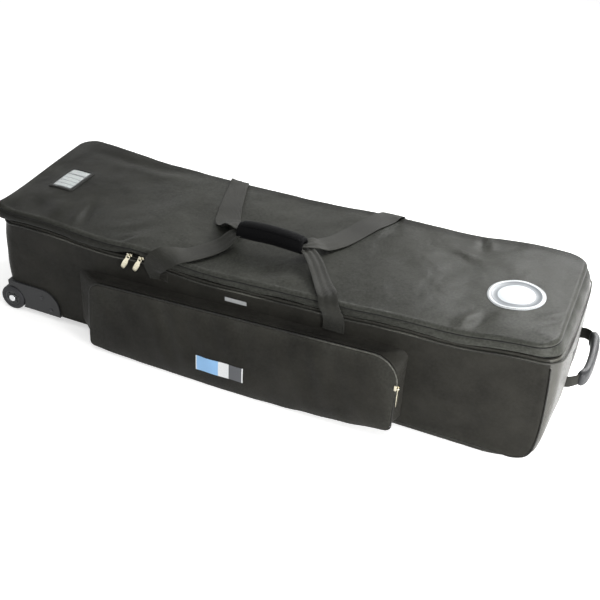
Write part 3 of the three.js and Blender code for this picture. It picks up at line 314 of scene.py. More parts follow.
@dataclass(frozen=True)
class Printed(Finish):
    """Coated card, patch or label in plain blocks of colour, read from the piece's own map.

    Each block is (from, to, colour), in millimetres along the first direction of the map, or outwards from
    the middle of a round patch.
    """

    ground: str
    blocks: tuple[tuple[float, float, str], ...] = ()
    roughness: float = 0.45

    def draw(self, tree: bpy.types.NodeTree) -> Socket:
        """A block shows where the map is above its start and below its end."""
        place = add(tree, "TexCoord")
        along = add(tree, "SeparateXYZ", {0: place["UV"]})[0]
        speck = add(tree, "TexNoise", {"Vector": place["Object"], "Scale": 1 / (3 * MM), "Detail": 3.0})
        dust = add(tree, "MapRange", {"Value": speck[0], "From Min": 0.45, "From Max": 0.9, "To Max": 0.25})
        colour = add(tree, "Mix", {0: dust[0], 6: self.ground, 7: "#8d8d88"}, data_type="RGBA")
        for start, end, shade in self.blocks:
            above = add(tree, "Math", {0: along, 1: start * MM}, operation="GREATER_THAN")
            below = add(tree, "Math", {0: along, 1: end * MM}, operation="LESS_THAN")
            inside = add(tree, "Math", {0: above[0], 1: below[0]}, operation="MULTIPLY")
            colour = add(tree, "Mix", {0: inside[0], 6: colour[2], 7: shade}, data_type="RGBA")
        low, high = self.roughness - 0.08, self.roughness + 0.1
        rough = add(tree, "MapRange", {"Value": speck[0], "To Min": low, "To Max": high})
        bump = add(tree, "Bump", {"Height": speck[0], "Distance": 0.1 * MM, "Strength": 0.4})
        look = {"Base Color": colour[2], "Roughness": rough[0], "Normal": bump[0]}
        return add(tree, "BsdfPrincipled", look)[0]


# Coated ballistic nylon, drawn with 2.2 mm threads because its real 0.6 mm ones are finer than a pixel:
# charcoal with an olive cast, a soft gloss from the coating, paler where it is rubbed.
BALLISTIC_NYLON = Woven("ballistic_nylon", "#1a1916", "#2a2925", "#494944", 2.2, Weave.PLAIN, 0.46, 0.04, 0.16, 0.08,
                        crumple=2.6)
# The same cloth on the lid, which shines more. Its pale colour shows wear at the edges and painted light on the top.
LID_NYLON = Woven("lid_ballistic_nylon", "#10100d", "#21211d", "#4a4b46", 2.2, Weave.PLAIN, 0.34, 0.02, 0.16, 0.08,
                  120.0, 4.0)
# The handle end of the tub: a paler copy of the cloth, painted light for the brightly lit end wall, with more sheen at
# a low angle.
END_NYLON = Woven("painted_light_end_nylon", "#26251f", "#34332d", "#5a5950", 2.2, Weave.PLAIN, 0.42, 0.4, 0.25, 0.35,
                  60.0, 1.2)
# Brushed polyester tricot that lines the tub: flat and black.
LINING = Woven("tricot_lining", "#141415", "#1b1b1c", "#2a2a2b", 1.8, Weave.TWILL, 0.85, 0.3, 0.2, 0.1)
# Woven polypropylene webbing, with its ribs along the strap: matt, a little paler than the cloth.
WEBBING = Woven("polypropylene_webbing", "#22221f", "#2b2b27", "#484842", 2.4, Weave.RIBBED, 0.6, 0.1, 0.35, 0.12)
# Polyester zip and binding tape in a herringbone: dull black.
BINDING = Woven("polyester_tape", "#161615", "#1e1e1c", "#353532", 1.6, Weave.TWILL, 0.75, 0.1, 0.2, 0.15)
# Cloth-covered edge cord: black and shiny, with a pale painted highlight where its map marks it.
PIPING = Woven("cloth_piping", "#181816", "#21211e", "#6c6c64", 1.8, Weave.TWILL, 0.36, 0.05, 0.12, 0.22)
# Neoprene wrap of the carry grip: black, soft, closed cells under a knitted face.
NEOPRENE = Woven("knitted_neoprene", "#060607", "#0a0a0b", "#131314", 1.6, Weave.PLAIN, 0.6, 0.02, 0.2, 0.04)
# Padded vinyl sleeve of the end handle: grey with a satin gloss.
SATIN_VINYL = Woven("satin_vinyl", "#1e1f21", "#292a2c", "#4b4c4f", 1.4, Weave.TWILL, 0.4, 0.05, 0.08, 0.3)
# Bonded polyester thread.
THREAD = Woven("bonded_thread", "#20201d", "#2c2c28", "#45453f", 0.8, Weave.TWILL, 0.5, 0.1, 0.1, 0.25)
# Injection-moulded polypropylene of the wheel housings: grey-black, satin grain, scuffed.
POLYPROPYLENE = Moulded("moulded_polypropylene", "#151618", "#2b2c2e", 0.54)
# Acetal coil of the zips.
ACETAL = Moulded("acetal_coil", "#151514", "#2a2a28", 0.35, 0.8, 0.03)
# Soft tyre rubber, grey with floor dust.
RUBBER = Moulded("tyre_rubber", "#27272a", "#56565a", 0.75, 0.9, 0.12, 0.35)
# Moulded nylon wheel centre.
WHEEL_NYLON = Moulded("moulded_nylon", "#2f3032", "#606164", 0.4, 1.0, 0.05)
# Polyethylene board, black and slightly waxy.
BOARD = Moulded("polyethylene_board", "#1f1f20", "#3c3c3d", 0.55, 1.6, 0.1)
# Bright nickel plate on cast zinc, a little warm.
NICKEL = Plated("nickel_plate", "#d8d2bd", "#a39b80", 0.24)
# Bright zinc on the steel push caps.
ZINC = Plated("zinc_plate", "#e3e4e6", "#b4b5b8", 0.2)
# Black oxide on the steel housing screws.
BLACK_OXIDE = Plated("black_oxide_steel", "#4a4a4c", "#2e2e30", 0.4)
CLEAR_VINYL = ClearVinyl("clear_vinyl", "#e9edee")
# Coated card with plain ruled rows and nothing written on it.
NAME_CARD = Printed("coated_card", "#e2e2de", (
    (0, 1.5, "#4a4b4e"), (14, 16.5, "#77787a"), (28, 30.5, "#77787a"), (42, 44.5, "#77787a"), (58, 64, "#3f4043"),
))
ROUND_PATCH = Printed("printed_patch", "#c6cacc", ((0, 36, "#c4c9cc"), (36, 49, "#6b7074")))
WOVEN_TAG = Printed("satin_woven_tag", "#b4b6b7", (), 0.6)
POCKET_LABEL = Printed("printed_label", "#e4e6e7", ((2, 52, "#8fbde9"), (76, 105.5, "#515357")))


# Surfaces


@dataclass
class Surface:
    """A mesh in the making: points in case millimetres, blocks of faces, and a flat map in metres."""

    points: Array
    faces: list[Array]
    maps: list[Array]
    looks: list[int]
    wear_and_light: Array | None = None

    def plus(self, other: "Surface") -> "Surface":
        """Adds another surface beside this one."""
        shift = len(self.points)
        return Surface(
            np.concatenate([self.points, other.points]), self.faces + [faces + shift for faces in other.faces],
            self.maps + other.maps, self.looks + other.looks, np.concatenate([self.worn_and_lit(), other.worn_and_lit()]),
        )

    def worn_and_lit(self) -> Array:
        """Gives the wear and painted light at each point, nothing where none was set."""
        return np.zeros(len(self.points)) if self.wear_and_light is None else self.wear_and_light

    def outwards(self) -> "Surface":
        """Turns every face round if the volume, a third of the sum of point . area, comes out negative."""
        volume = 0.0
        for faces in self.faces:
            corners = self.points[faces]
            for k in range(1, faces.shape[1] - 1):
                volume += np.einsum("ij,ij->", corners[:, 0], np.cross(corners[:, k], corners[:, k + 1]))
        if volume < 0:
            self.faces = [faces[:, ::-1] for faces in self.faces]
            self.maps = [places[:, ::-1] for places in self.maps]
        return self

    def moved(self, function: Callable[[Array], Array]) -> "Surface":
        """Gives the surface with its points changed by a function of the whole array, facing outwards."""
        return Surface(function(self.points), self.faces, self.maps, self.looks, self.wear_and_light).outwards()


def xyz(*parts: Array | float) -> Array:
    """Points from their parts, each an array or one number for all."""
    return np.stack(np.broadcast_arrays(*parts), -1)


def unit(vectors: Array) -> Array:
    """The same directions at length one."""
    return vectors / np.linalg.norm(vectors, axis=-1, keepdims=True)


def turns(count: int) -> Array:
    """Even angles once round."""
    return np.linspace(0, 2 * np.pi, count, endpoint=False)


def step(value: Array, low: float, high: float) -> Array:
    """Rises smoothly from 0 at low to 1 at high."""
    share = np.clip((value - low) / (high - low), 0, 1)
    return share * share * (3 - 2 * share)


def hump(value: Array, middle: float, width: float) -> Array:
    """A bell of height 1: exp(-((value - middle) / width)^2)."""
    return np.exp(-(((value - middle) / width) ** 2))


def drawn_in(past: Array, radius: Array | float) -> Array:
    """How far a round corner has drawn its edge in, some way past the corner's start."""
    return radius - np.sqrt(np.maximum(0, radius**2 - past**2))


def squared(angle: Array, power: float) -> tuple[Array, Array]:
    """Cosine and sine raised to a power with their signs kept: points of a superellipse."""
    c, s = np.cos(angle), np.sin(angle)
    return np.sign(c) * np.abs(c) ** power, np.sign(s) * np.abs(s) ** power


def chord(path: Array, axis: int = 0) -> Array:
    """From the point before to the point after, at each point of a closed path."""
    return np.roll(path, -1, axis=axis) - np.roll(path, 1, axis=axis)


def beside(ring: Array, axis: int = 0) -> Array:
    """Level unit directions square to a closed ring, to the right of its walk."""
    along = chord(ring, axis)
    return unit(xyz(along[..., 1], -along[..., 0]))


def grid(points: Array, closed_rows: bool = False, closed_columns: bool = False, look: int = 0) -> Surface:
    """Joins neighbours of points[row, column] with four-sided faces.

    The map is the mean arc length down the columns and along the rows.

    Args:
        points: Rows by columns by three.
        closed_rows: Whether the last row meets the first.
        closed_columns: Whether the last column meets the first.
        look: Which of the piece's finishes the faces take.

    Returns:
        The surface.
    """
    rows, columns = points.shape[:2]
    down, along = np.arange(rows - (not closed_rows)), np.arange(columns - (not closed_columns))
    r, c = np.meshgrid(down, along, indexing="ij")
    corners = [(r, c), (r + 1, c), (r + 1, c + 1), (r, c + 1)]
    faces = np.stack([(i % rows) * columns + j % columns for i, j in corners], -1).reshape(-1, 4)
    closed = np.pad(points, ((0, int(closed_rows)), (0, int(closed_columns)), (0, 0)), mode="wrap")
    steps = [np.linalg.norm(np.diff(closed, axis=k), axis=-1).mean(axis=1 - k) for k in (0, 1)]
    v, u = np.meshgrid(*(np.concatenate([[0], np.cumsum(each)]) for each in steps), indexing="ij")
    flat = np.stack([u, v], -1)
    places = np.stack([flat[i, j] for i, j in corners], -2).reshape(-1, 4, 2) * MM
    return Surface(points.reshape(-1, 3), [faces], [places], [look])


def tube(rows: Sequence[Array]) -> Surface:
    """A solid whose rows are closed and whose last row meets its first."""
    return grid(np.stack(rows), True, True).outwards()


def fan(surface: Surface, ring: Array, look: int) -> None:
    """Closes a ring of the surface's points with triangles round its middle.

    Args:
        surface: The surface, which gains the faces.
        ring: Numbers of the ring's points.
        look: The finish of the new faces.
    """
    hub = len(surface.points)
    surface.points = np.concatenate([surface.points, surface.points[ring].mean(axis=0)[None]])
    faces = np.stack([np.full(len(ring), hub), ring, np.roll(ring, -1)], -1)
    spread = surface.points[faces]
    across = np.ptp(spread.reshape(-1, 3), axis=0).argsort()[-2:]
    surface.faces.append(faces)
    surface.maps.append(spread[..., across] * MM)
    surface.looks.append(look)


def capped_loft(rings: Array, looks: Sequence[int] = ()) -> Surface:
    """A closed solid through rings of points, rings[level, point], with a fan at each end.

    Args:
        rings: Levels by points by three.
        looks: The finish of each band between levels, and of the two ends by the first and last band.

    Returns:
        The solid.
    """
    levels, count = rings.shape[:2]
    solid = grid(rings, closed_columns=True)
    looks = looks or [0] * (levels - 1)
    faces, places, bands = solid.faces[0], solid.maps[0], np.repeat(np.asarray(looks), count)
    solid.looks = sorted(set(looks))
    solid.faces = [faces[bands == kind] for kind in solid.looks]
    solid.maps = [places[bands == kind] for kind in solid.looks]
    fan(solid, np.arange(count), looks[0])
    fan(solid, (levels - 1) * count + np.arange(count)[::-1], looks[-1])
    return solid


def spline(stations: Array, spacing: float, closed: bool = False) -> Array:
    """A smooth curve through stations, in equal steps of arc length.

    Between two stations it is the cubic whose slopes there are those of the chord between their neighbours.

    Args:
        stations: Points by columns. The first three columns are the place, any others are carried along.
        spacing: Step in millimetres.
        closed: Whether the curve returns to its first station.

    Returns:
        Samples by columns.
    """
    p = np.asarray(stations, float)
    if closed:
        p = np.concatenate([p[-2:], p, p[:3]])
    gaps = np.linalg.norm(np.diff(p[:, :3], axis=0), axis=1)
    t = np.concatenate([[0], np.cumsum(np.maximum(gaps, 1e-6))])
    slope = np.gradient(p, t, axis=0)
    low, high = (t[2], t[-3]) if closed else (t[0], t[-1])
    at = np.linspace(low, high, 24 * len(p))
    k = np.clip(np.searchsorted(t, at, side="right") - 1, 0, len(t) - 2)
    span = (t[k + 1] - t[k])[:, None]
    s = ((at - t[k])[:, None]) / span
    dense = (
        (2 * s**3 - 3 * s**2 + 1) * p[k] + (s**3 - 2 * s**2 + s) * span * slope[k]
        + (3 * s**2 - 2 * s**3) * p[k + 1] + (s**3 - s**2) * span * slope[k + 1]
    )
    run = np.concatenate([[0], np.cumsum(np.linalg.norm(np.diff(dense[:, :3], axis=0), axis=1))])
    count = max(4, int(round(run[-1] / spacing)) + 1)
    even = np.linspace(0, run[-1], count)[: -1 if closed else None]
    return np.stack([np.interp(even, run, column) for column in dense.T], -1)


def directions(path: Array, across: Array, closed: bool = False) -> tuple[Array, Array, Array]:
    """Three square directions at each point of a path: along it, across it and out of its face."""
    along = unit(chord(path) if closed else np.gradient(path, axis=0))
    across = np.broadcast_to(np.asarray(across, float), path.shape)
    across = unit(across - (across * along).sum(1, keepdims=True) * along)
    return along, across, np.cross(along, across)


def sweep(path: Array, across: Array, profile: Array, closed: bool = False) -> Surface:
    """Carries a closed profile along a path: path + a * across + b * out, for each profile point (a, b).

    Args:
        path: Points by three.
        across: The direction across the path, one for all points or one for each.
        profile: Points by two, or one such profile for each path point.
        closed: Whether the path returns to its start.

    Returns:
        The solid.
    """
    _, wide, out = directions(path, across, closed)
    shape = np.broadcast_to(profile, (len(path), *profile.shape[-2:]))
    rings = path[:, None] + shape[..., :1] * wide[:, None] + shape[..., 1:] * out[:, None]
    return tube(rings) if closed else capped_loft(rings)


def circle(radius: float, count: int = 10) -> Array:
    """Points of a round profile."""
    return radius * xyz(np.cos(turns(count)), np.sin(turns(count)))


def band(width: float, thickness: float, count: int = 9) -> Array:
    """Profile of a strap: flat faces with rounded edges, a superellipse of power 5 across the width."""
    share = np.linspace(-1, 1, count)
    top = xyz(share * width / 2, thickness / 2 * (1 - np.abs(share) ** 5 * 0.55))
    return np.concatenate([top, top[::-1] * (1, -1)])


def scatter(seed: Surface, places: Array, axes: Sequence[Array]) -> Surface:
    """Copies a small solid to many places.

    Args:
        seed: The small solid, about its own middle.
        places: Copies by three.
        axes: Where the seed's x, y and z point, each with one direction for each copy.

    Returns:
        All copies as one surface.
    """
    count, size = len(places), len(seed.points)
    points = (places[:, None] + np.einsum("vk,nkj->nvj", seed.points, np.stack(axes, 1))).reshape(-1, 3)
    shift = (np.arange(count) * size)[:, None, None]
    faces = [(block[None] + shift).reshape(-1, block.shape[1]) for block in seed.faces]
    return Surface(points, faces, [np.tile(block, (count, 1, 1)) for block in seed.maps], list(seed.looks))


def bead(length: float, width: float, height: float, sides: int = 6) -> Surface:
    """A small closed bead along x: rings of a narrow oval that shrink towards both ends."""
    share, size = np.array([[-1.0, -0.6, 0.6, 1.0], [0.45, 1.0, 1.0, 0.45]])[..., None]
    turn = turns(sides)
    return capped_loft(xyz(share * length / 2, size * np.cos(turn) * width / 2, size * np.sin(turn) * height / 2))


def stitches(path: Array, out: Array, pitch: float = 4.2) -> Surface:
    """A row of lock stitches along a path: one thread bead for each pitch, half sunk in the cloth."""
    run = spline(path, pitch)
    along, wide, up = directions(run, out)
    return scatter(bead(pitch * 0.68, 0.9, 0.9), run, (along, up, wide))


def waves(points: Array, length: float, seed: int, count: int = 16) -> Array:
    """Smooth random relief of about -1 to 1: plane waves of about one length in seeded directions, added.

    Args:
        points: Places, by two or three.
        length: Typical wave length in millimetres.
        seed: Seed of the directions.
        count: Number of waves.

    Returns:
        The relief at each place.
    """
    rng = np.random.default_rng(seed)
    way = unit(rng.normal(size=(count, points.shape[-1])))
    pitch = length * rng.uniform(0.7, 1.6, count)
    phase = rng.uniform(0, 2 * np.pi, count)
    return np.sin(points @ (2 * np.pi * way / pitch[:, None]).T + phase).sum(-1) / math.sqrt(count)


@dataclass(frozen=True)
class Crease:
    """A fold or dent along a line: depth * exp(-(distance / width)^2), fading at its ends."""

    start: tuple[float, float]
    end: tuple[float, float]
    width: float
    depth: float

    def relief(self, x: Array, y: Array) -> Array:
        """Gives the fold's height at each place."""
        a, b = np.array(self.start), np.array(self.end)
        run, place = b - a, xyz(x, y) - a
        share = np.clip((place @ run) / (run @ run), 0, 1)
        distance = np.linalg.norm(place - share[..., None] * run, axis=-1)
        return self.depth * hump(distance, 0, self.width) * (0.35 + 0.65 * np.sin(np.pi * share))


def dense_ends(count: int, mix: float) -> Array:
    """Shares from 0 to 1 that lie closer together near both ends."""
    t = np.linspace(0, 1, count)
    return (1 - mix) * t + mix * (0.5 - 0.5 * np.cos(np.pi * t))


def rim_of(rows: int, columns: int) -> Array:
    """Numbers of the border points of a rows by columns grid, walked once round."""
    number = np.arange(rows * columns).reshape(rows, columns)
    return np.concatenate([number[0, :-1], number[:-1, -1], number[-1, :0:-1], number[:0:-1, 0]])


def pillow(face: Array, back: Array, rings: Sequence[Array] = (), back_look: int = 0) -> Surface:
    """A closed solid of a front grid, rings that run round its edge, and a back grid of the same size.

    Args:
        face: Rows by columns by three.
        back: The same.
        rings: Each has one point for each border point of the grid.
        back_look: The finish of the back.

    Returns:
        The solid, facing outwards.
    """
    border = rim_of(*face.shape[:2])
    front, rear = grid(face), grid(back, look=back_look)
    count, base = len(border), len(front.points)
    last = base + count * len(rings)
    ids = np.stack([border, *[base + k * count + np.arange(count) for k in range(len(rings))], last + border])
    points = np.concatenate([front.points, *rings, rear.points])
    edge = grid(points[ids], closed_columns=True)
    faces = ids.reshape(-1)[edge.faces[0]]
    return Surface(
        points, [front.faces[0], faces[:, ::-1], (rear.faces[0] + last)[:, ::-1]],
        [front.maps[0], edge.maps[0][:, ::-1], rear.maps[0][:, ::-1]], [0, 0, back_look],
    ).outwards()


# Workshop


@dataclass(frozen=True)
class Bend:
    """A joint that cloth crosses, from the first body at start to the second one at end. A piece across it stays
    unparented.
    """

    first: Body
    second: Body
    start: Point
    end: Point


def fill_in(members: Sequence, key: str, blocks: Sequence[Array], kind: type) -> None:
    """Writes one property of all of a mesh's members."""
    members.foreach_set(key, np.concatenate([np.reshape(block, -1) for block in blocks]).astype(kind))


@dataclass
class Workshop:
    """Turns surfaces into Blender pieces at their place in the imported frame."""

    origin: Array

    @classmethod
    def from_frame(cls, overhang: float) -> "Workshop":
        """Finds the case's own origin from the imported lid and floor.

        Args:
            overhang: How much further the lid reaches past the wheel end than past the handle end.

        Returns:
            The workshop.
        """
        lid_low, lid_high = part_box("lid_panel")
        floor_low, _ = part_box("floor_panel")
        middle_x = (lid_low.x + lid_high.x) / 2 + overhang / 2 * MM
        return cls(np.array([middle_x, (lid_low.y + lid_high.y) / 2, floor_low.z]) / MM)

    def row(self, points: Array) -> Array:
        """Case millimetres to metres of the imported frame."""
        return (np.asarray(points, float) + self.origin) * MM

    def make(self, name: str, surface: Surface, finishes: Finish | tuple[Finish, ...], slot: str, body: Body | Bend,
             replaces: str = "", crisp: float | None = None, fill: float | None = None) -> None:
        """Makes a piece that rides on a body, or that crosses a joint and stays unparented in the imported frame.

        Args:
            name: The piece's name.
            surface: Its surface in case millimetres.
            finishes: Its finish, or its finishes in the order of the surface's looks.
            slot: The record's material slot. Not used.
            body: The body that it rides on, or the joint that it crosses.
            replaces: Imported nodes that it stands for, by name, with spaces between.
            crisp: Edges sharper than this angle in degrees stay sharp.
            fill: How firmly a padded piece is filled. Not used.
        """
        mesh = bpy.data.meshes.new(name)
        sizes = np.concatenate([np.full(len(faces), faces.shape[1]) for faces in surface.faces])
        looks = np.concatenate([np.full(len(faces), look) for faces, look in zip(surface.faces, surface.looks)])

        mesh.vertices.add(len(surface.points))
        fill_in(mesh.vertices, "co", [self.row(surface.points)], np.float32)
        mesh.loops.add(int(sizes.sum()))
        fill_in(mesh.loops, "vertex_index", surface.faces, np.int32)
        mesh.polygons.add(len(sizes))
        fill_in(mesh.polygons, "loop_start", [[0], np.cumsum(sizes)[:-1]], np.int32)
        fill_in(mesh.polygons, "material_index", [looks], np.int32)
        mesh.update(calc_edges=True)
        fill_in(mesh.uv_layers.new(name="UVMap").data, "uv", surface.maps, np.float32)
        fill_in(mesh.attributes.new("wear_and_light", "FLOAT", "POINT").data, "value", [surface.worn_and_lit()], np.float32)
        mesh.shade_smooth()
        if crisp is not None:
            mesh.set_sharp_from_angle(angle=math.radians(crisp))
        piece = bpy.data.objects.new(name, mesh)
        bpy.context.scene.collection.objects.link(piece)
        for finish in (finishes,) if isinstance(finishes, Finish) else finishes:
            mesh.materials.append(finish.material())
        if isinstance(body, Bend):
            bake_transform(piece)
        else:
            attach(piece, body.value)
        if replaces:
            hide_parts(*replaces.split())
        log.info("%s: %d faces on %s", name, len(sizes), body)


def dress_node(name: str, finish: Finish) -> None:
    """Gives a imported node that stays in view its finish."""
    for entry in bpy.data.objects[name].material_slots:
        entry.material = finish.material()
    log.info("%s: kept, in %s", name, finish.name)


# The case's plan


@dataclass(frozen=True)
class Knots:
    """A smooth curve near a few values: their mean, weighted by exp(-(distance / reach)^2)."""

    reach: float
    pairs: tuple[tuple[float, float], ...]

    def __call__(self, x: Array) -> Array:
        """Gives the curve at x."""
        at, value = np.array(self.pairs, float).T
        weight = hump(np.asarray(x, float)[..., None], at, self.reach) + 1e-12
        return (weight * value).sum(-1) / weight.sum(-1)


@dataclass(frozen=True)
class CasePlan:
    """Sizes of the case in millimetres, and the heights that run along it."""

    half_length: float = 602.0
    half_width: float = 176.0
    rim_at_wheels: float = 222.0
    rim_at_handle: float = 237.0
    rim_sag: float = 7.0
    wall: float = 8.0
    end_radius: float = 32.0
    edge_radius: float = 3.5
    corner_low: float = 12.0
    corner_high: float = 30.0
    end_bulge: float = 9.0
    end_fullness: float = 9.0
    slump: Knots = Knots(24, (
        (-610, -2.3), (-570, -1.4), (-530, -0.1), (-490, -0.5), (-450, -2.6), (-410, -6.0), (-370, -7.4),
        (-330, -7.4), (-300, -6.6), (-268, -5.6), (-230, -6.4), (-195, -7.8), (-160, -9.2), (-125, -10.3),
        (-90, -10.3), (-50, -9.8), (-10, -8.5), (30, -7.1), (70, -6.0), (105, -4.1), (140, -2.9), (180, -2.5),
        (220, -1.9), (260, -0.9), (300, -0.9), (340, -1.4), (380, -1.3), (420, 0.9), (450, 3.5), (480, 6.3),
        (510, 7.9), (545, 8.1), (580, 6.9), (605, 6.9),
    ))
    tilt: Knots = Knots(30, (
        (-610, 0.7), (-530, -0.9), (-410, -0.4), (-330, 0.4), (-268, -2.6), (-230, -2.2), (-195, -0.6), (-160, 1.0),
        (-125, 2.7), (-90, 3.1), (-10, 1.5), (70, 1.1), (105, 2.4), (180, 2.2), (220, 2.0), (260, -0.5), (340, -1.5),
        (380, -0.8), (420, 1.5), (450, 1.6), (480, 0.1), (510, -1.9), (545, -3.8), (580, -6.1), (605, -6.1),
    ))
    tuck: float = 9.0
    low_tuck: float = 7.0
    floor_sag: float = 9.0
    tuck_top: float = 112.0
    zip_gap: float = 15.0
    skirt: float = 20.0
    lid_sag: float = 5.0
    lid_crown: float = 4.0
    lid_side: float = 5.0
    lid_wheel_end: float = 12.0
    lid_handle_end: float = -1.0
    lid_corner: float = 44.0
    overhang: float = 6.0
    long_count: int = 170
    short_count: int = 44
    corner_count: int = 9

    @property
    def slope(self) -> float:
        """How steeply the rim rises to the handle end."""
        return (self.rim_at_handle - self.rim_at_wheels) / (2 * self.half_length)

    @property
    def rear_start(self) -> int:
        """Number of the ring's points before its rear side."""
        return self.long_count + 2 * self.corner_count + self.short_count

    def line(self, x: Array) -> Array:
        """Height of the rim before it slumps: a straight line less a parabola of sag."""
        rise = self.rim_at_handle - self.rim_at_wheels
        straight = self.rim_at_wheels + rise * (x / (2 * self.half_length) + 0.5)
        return straight - self.rim_sag * (1 - (x / self.half_length) ** 2)

    def slumped(self, x: Array, y: Array | float) -> Array:
        """How far the cloth slumps from the line, more or less towards the front."""
        return self.slump(x) + self.tilt(x) * np.clip(y / self.half_width, -1, 1)

    def rim(self, x: Array, y: Array | float = 0.0) -> Array:
        """Height of the tub's rim, which keeps to the line at the rear so that the lid can fold about it."""
        return self.line(x) + self.slumped(x, y) * (1 - step(np.asarray(y, float), 110, 172))

    def lid_top(self, x: Array, y: Array | float = 0.0) -> Array:
        """Height of the lid's edge, above its boxing."""
        sag = self.lid_sag * (1 - (x / self.half_length) ** 2)
        return self.line(x) + self.slumped(x, y) + self.zip_gap + self.skirt - sag

    def lid_surface(self, x: Array, y: Array) -> Array:
        """Height of the lid's cloth: its edge and a parabola of crown across."""
        return self.lid_top(x, y) + self.lid_crown * np.maximum(0, 1 - (y / self.half_width) ** 2)

    def bulge(self, y: Array, z: Array, rim: Array) -> Array:
        """How far padding pushes an end out: (1 - (y / half width)^4), full from a third up to near the rim."""
        share = np.clip(z / rim, 0, 1)
        swell = np.sin(np.pi * share) ** np.where(share < 0.5, 0.9, 0.45)
        return swell * (self.end_bulge * np.maximum(0, 1 - (y / self.half_width) ** 4) + self.end_fullness)

    def bow(self, x: Array, y: Array) -> Array:
        """How far the rim, the zip and the lid's hem bow out with the end walls."""
        across = np.maximum(0, 1 - (y / self.half_width) ** 4)
        return step(x, 540, 590) * (3.0 + 7.0 * across) - step(-x, 540, 590) * 3.0 * across

    def ring(self, low: float, high: float, half: float, radius: float) -> Array:
        """A rounded rectangle seen from above, walked anticlockwise from the front's wheel end.

        Args:
            low: Lowest x.
            high: Highest x.
            half: Half its width in y.
            radius: Its corner radius.

        Returns:
            Points by two, always as many, so that rings can be joined.
        """
        def line(a: tuple[float, float], b: tuple[float, float], count: int) -> Array:
            """Even points from a to b, without b."""
            share = np.arange(count)[:, None] / count
            return np.array(a) * (1 - share) + np.array(b) * share

        def turn(x: float, y: float, start: float) -> Array:
            """A quarter circle, without its end."""
            angle = np.radians(start + 90 * np.arange(self.corner_count) / self.corner_count)
            return xyz(x + radius * np.cos(angle), y + radius * np.sin(angle))

        left, right, top = low + radius, high - radius, half - radius
        return np.concatenate([
            line((left, -half), (right, -half), self.long_count), turn(right, -top, -90),
            line((high, -top), (high, top), self.short_count), turn(right, top, 0),
            line((right, half), (left, half), self.long_count), turn(left, top, 90),
            line((low, top), (low, -top), self.short_count), turn(left, -top, 180),
        ])

    def rim_ring(self, inset: float) -> Array:
        """The rim's plan, drawn in by an inset, with the bow of its ends."""
        half = self.half_length - inset
        ring = self.ring(-half, half, self.half_width - inset, self.corner_high - inset)
        ring[:, 0] += self.bow(*ring.T)
        return ring

    def wall_relief(self, x: Array, z: Array) -> Array:
        """How far a side wall's padding stands out of its flat: slow waves that fade at the seams."""
        fade = np.sin(np.pi * np.clip(z / self.rim(x), 0, 1)) ** 0.7
        place = xyz(x, z * 0.6)
        return fade * (1.6 * waves(place, 260, 3) + 0.7 * waves(place, 90, 4) - 0.6)


PLAN = CasePlan()


def level(ring: Array, height: Array | float) -> Array:
    """Lifts a plan ring to a height."""
    return xyz(ring[..., 0], ring[..., 1], height)


def upright(plan: Array, y: Array | float) -> Array:
    """Stands a plan of x and z up at y."""
    return xyz(plan[..., 0], y, plan[..., 1])


# The tub


def recast(surface: Surface, inside: Array, old: Sequence[int], new: int | None) -> Surface:
    """Gives the faces whose corners all lie inside a region another finish, or takes them out.

    Args:
        surface: The surface.
        inside: For each point, whether it lies inside.
        old: The finishes that they may have.
        new: The finish that they get, or None to take them out.

    Returns:
        The same surface.
    """
    blocks = []
    for faces, places, look in zip(surface.faces, surface.maps, surface.looks):
        picked = inside[faces].all(axis=1) & (look in old)
        blocks.append((faces[~picked], places[~picked], look))
        if new is not None:
            blocks.append((faces[picked], places[picked], new))
    blocks = [block for block in blocks if len(block[0])]
    surface.faces, surface.maps, surface.looks = (list(column) for column in zip(*blocks))
    return surface


